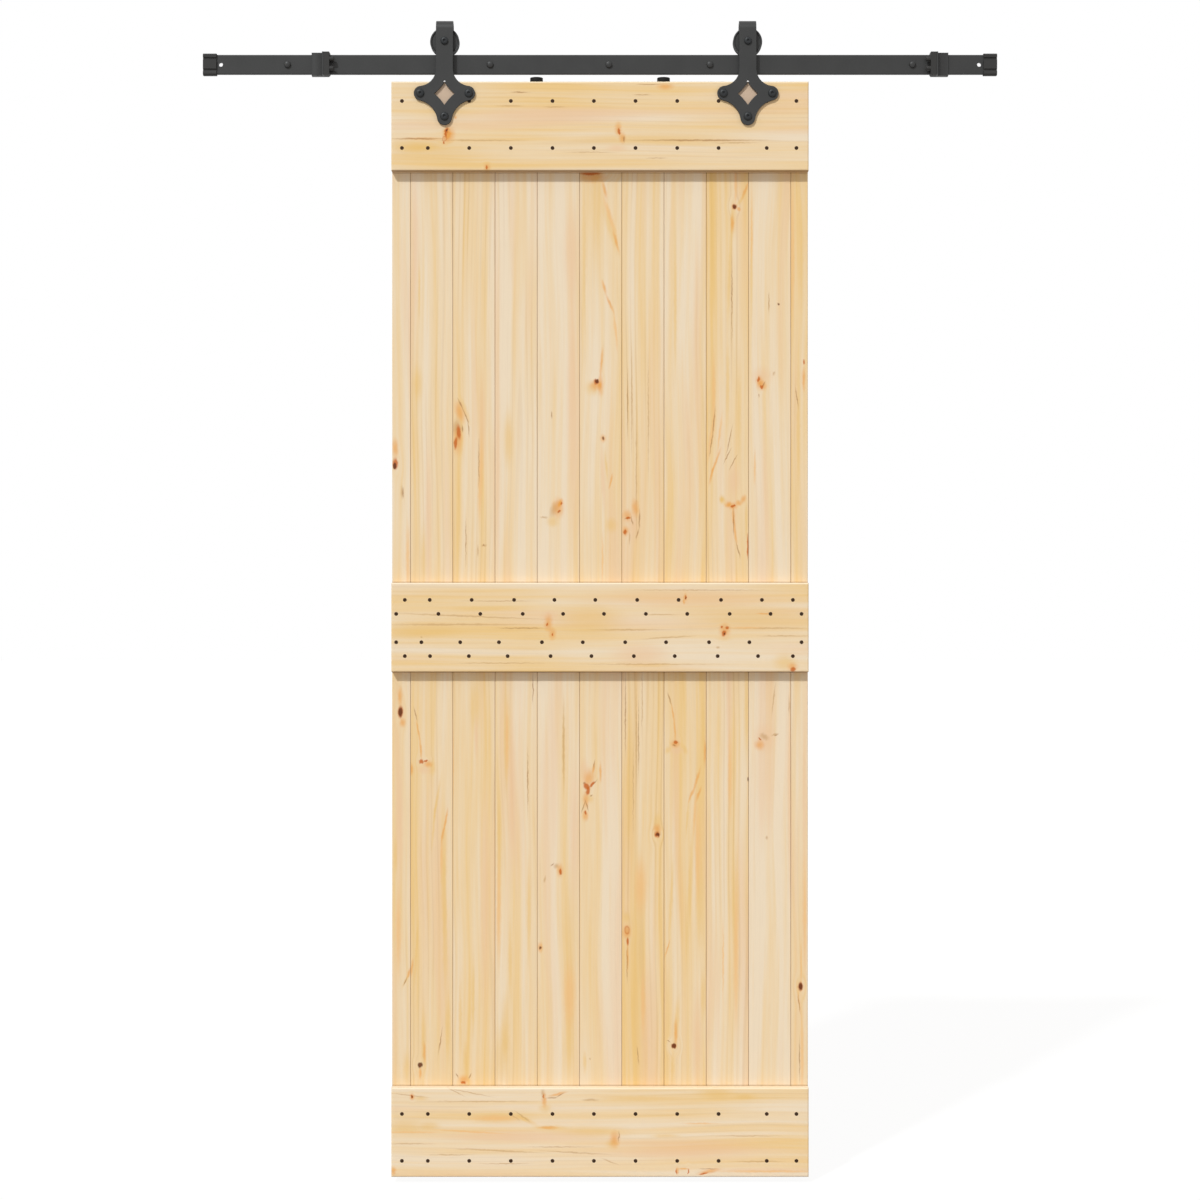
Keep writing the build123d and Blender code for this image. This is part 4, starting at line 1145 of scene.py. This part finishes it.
class PLANKDOOR_OT_stage(Operator):
    """Set up the floor, the light and the camera"""

    bl_idname = "plankdoor.stage"
    bl_label = "Stage"

    def execute(self, context):
        scene = context.scene
        studio = scene.plank_studio
        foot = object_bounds()[0].z - studio.floor_gap

        sheet = bmesh.new()
        bmesh.ops.create_grid(sheet, x_segments=1, y_segments=1, size=40,
                              matrix=Matrix.Translation((0, 0, foot)))
        data = bpy.data.meshes.new("floor")
        sheet.to_mesh(data)
        sheet.free()
        material, graph = new_graph("floor_paper")
        dimmer = tuple(part * 0.985 for part in studio.paper)
        paper = graph.mix(graph.noise(graph.place(), 60, 3), dimmer, studio.paper)
        matt = graph.node("ShaderNodeBsdfDiffuse", {"Color": paper, "Roughness": 0.6})
        glow = graph.node("ShaderNodeEmission", {"Color": (1, 1, 1, 1), "Strength": studio.glow})
        seen = self.seen_by_eye(graph)
        mixed = graph.node("ShaderNodeMixShader", {0: seen * (1 - studio.shadow), 1: matt, 2: glow})
        graph.node("ShaderNodeOutputMaterial", {"Surface": mixed})
        data.materials.append(material)
        floor = bpy.data.objects.new("floor", data)
        scene.collection.objects.link(floor)
        floor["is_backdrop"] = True

        world = bpy.data.worlds.new("studio")
        scene.world = world
        graph = Graph(world)
        seen = self.seen_by_eye(graph)
        strength = seen * (1 - studio.fill) + studio.fill
        tint = graph.mix(seen, studio.warmth, (1, 1, 1))
        sky = graph.node("ShaderNodeBackground", {"Color": tint, "Strength": strength})
        graph.node("ShaderNodeOutputWorld", {"Surface": sky})

        lamp = bpy.data.lights.new("key", "SUN")
        lamp.energy = studio.key
        lamp.color = studio.key_tint
        lamp.angle = studio.key_size
        key = bpy.data.objects.new("key", lamp)
        key.location = (-1.6, -3.0, 2.4)
        key.rotation_euler = Vector((0.55, 1.0, -1.0)).to_track_quat("-Z", "Y").to_euler()
        scene.collection.objects.link(key)

        lens = bpy.data.cameras.new("camera")
        lens.sensor_width = 36
        lens.angle = studio.camera_angle
        lens.clip_end = 200
        camera = bpy.data.objects.new("camera", lens)
        camera.location = (0, studio.camera_y, studio.camera_z)
        camera.rotation_euler = (math.radians(90), 0, 0)
        scene.collection.objects.link(camera)
        scene.camera = camera
        scene.view_settings.view_transform = "Standard"
        return {"FINISHED"}

    @staticmethod
    def seen_by_eye(graph):
        """1 on rays from the camera, and on those that a gloss or a glass sends on."""
        rays = graph.node("ShaderNodeLightPath", output="Is Camera Ray")
        seen = graph.math("MAXIMUM", rays, rays.output("Is Glossy Ray"))
        return graph.math("MAXIMUM", seen, rays.output("Is Transmission Ray"))


OPERATORS = (
    PLANKDOOR_OT_boards,
    PLANKDOOR_OT_ledges,
    PLANKDOOR_OT_wood_screws,
    PLANKDOOR_OT_hangers,
    PLANKDOOR_OT_wheels,
    PLANKDOOR_OT_bearings,
    PLANKDOOR_OT_axles,
    PLANKDOOR_OT_plate_screws,
    PLANKDOOR_OT_anti_jump,
    PLANKDOOR_OT_rail,
    PLANKDOOR_OT_rail_bolts,
    PLANKDOOR_OT_stops,
    PLANKDOOR_OT_end_caps,
    PLANKDOOR_OT_stage,
)

GROUPS = {
    "plank_pine": PineProperties,
    "plank_steel": SteelProperties,
    "plank_hardware": HardwareProperties,
    "plank_studio": StudioProperties,
}


class PLANKDOOR_PT_panel(Panel):
    """Lists the door's settings and pieces"""

    bl_idname = "PLANKDOOR_PT_panel"
    bl_label = "Plank Door"
    bl_space_type = "VIEW_3D"
    bl_region_type = "UI"
    bl_category = "Plank Door"

    def draw(self, context):
        for group, properties in GROUPS.items():
            box = self.layout.box()
            box.label(text=properties.__doc__)
            for name in properties.__annotations__:
                box.prop(getattr(context.scene, group), name)
        for operator in OPERATORS:
            self.layout.operator(operator.bl_idname)


def register():
    """Register the groups, operators and panel."""
    for group, properties in GROUPS.items():
        bpy.utils.register_class(properties)
        setattr(bpy.types.Scene, group, PointerProperty(type=properties))
    for operator in OPERATORS:
        bpy.utils.register_class(operator)
    bpy.utils.register_class(PLANKDOOR_PT_panel)


def unregister():
    """Take them away again."""
    bpy.utils.unregister_class(PLANKDOOR_PT_panel)
    for operator in reversed(OPERATORS):
        bpy.utils.unregister_class(operator)
    for group, properties in GROUPS.items():
        delattr(bpy.types.Scene, group)
        bpy.utils.unregister_class(properties)


def main():
    """Make every piece and the stage."""
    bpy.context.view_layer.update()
    register()
    for operator in OPERATORS:
        group, name = operator.bl_idname.split(".")
        getattr(getattr(bpy.ops, group), name)()


if __name__ == "__main__":
    main()
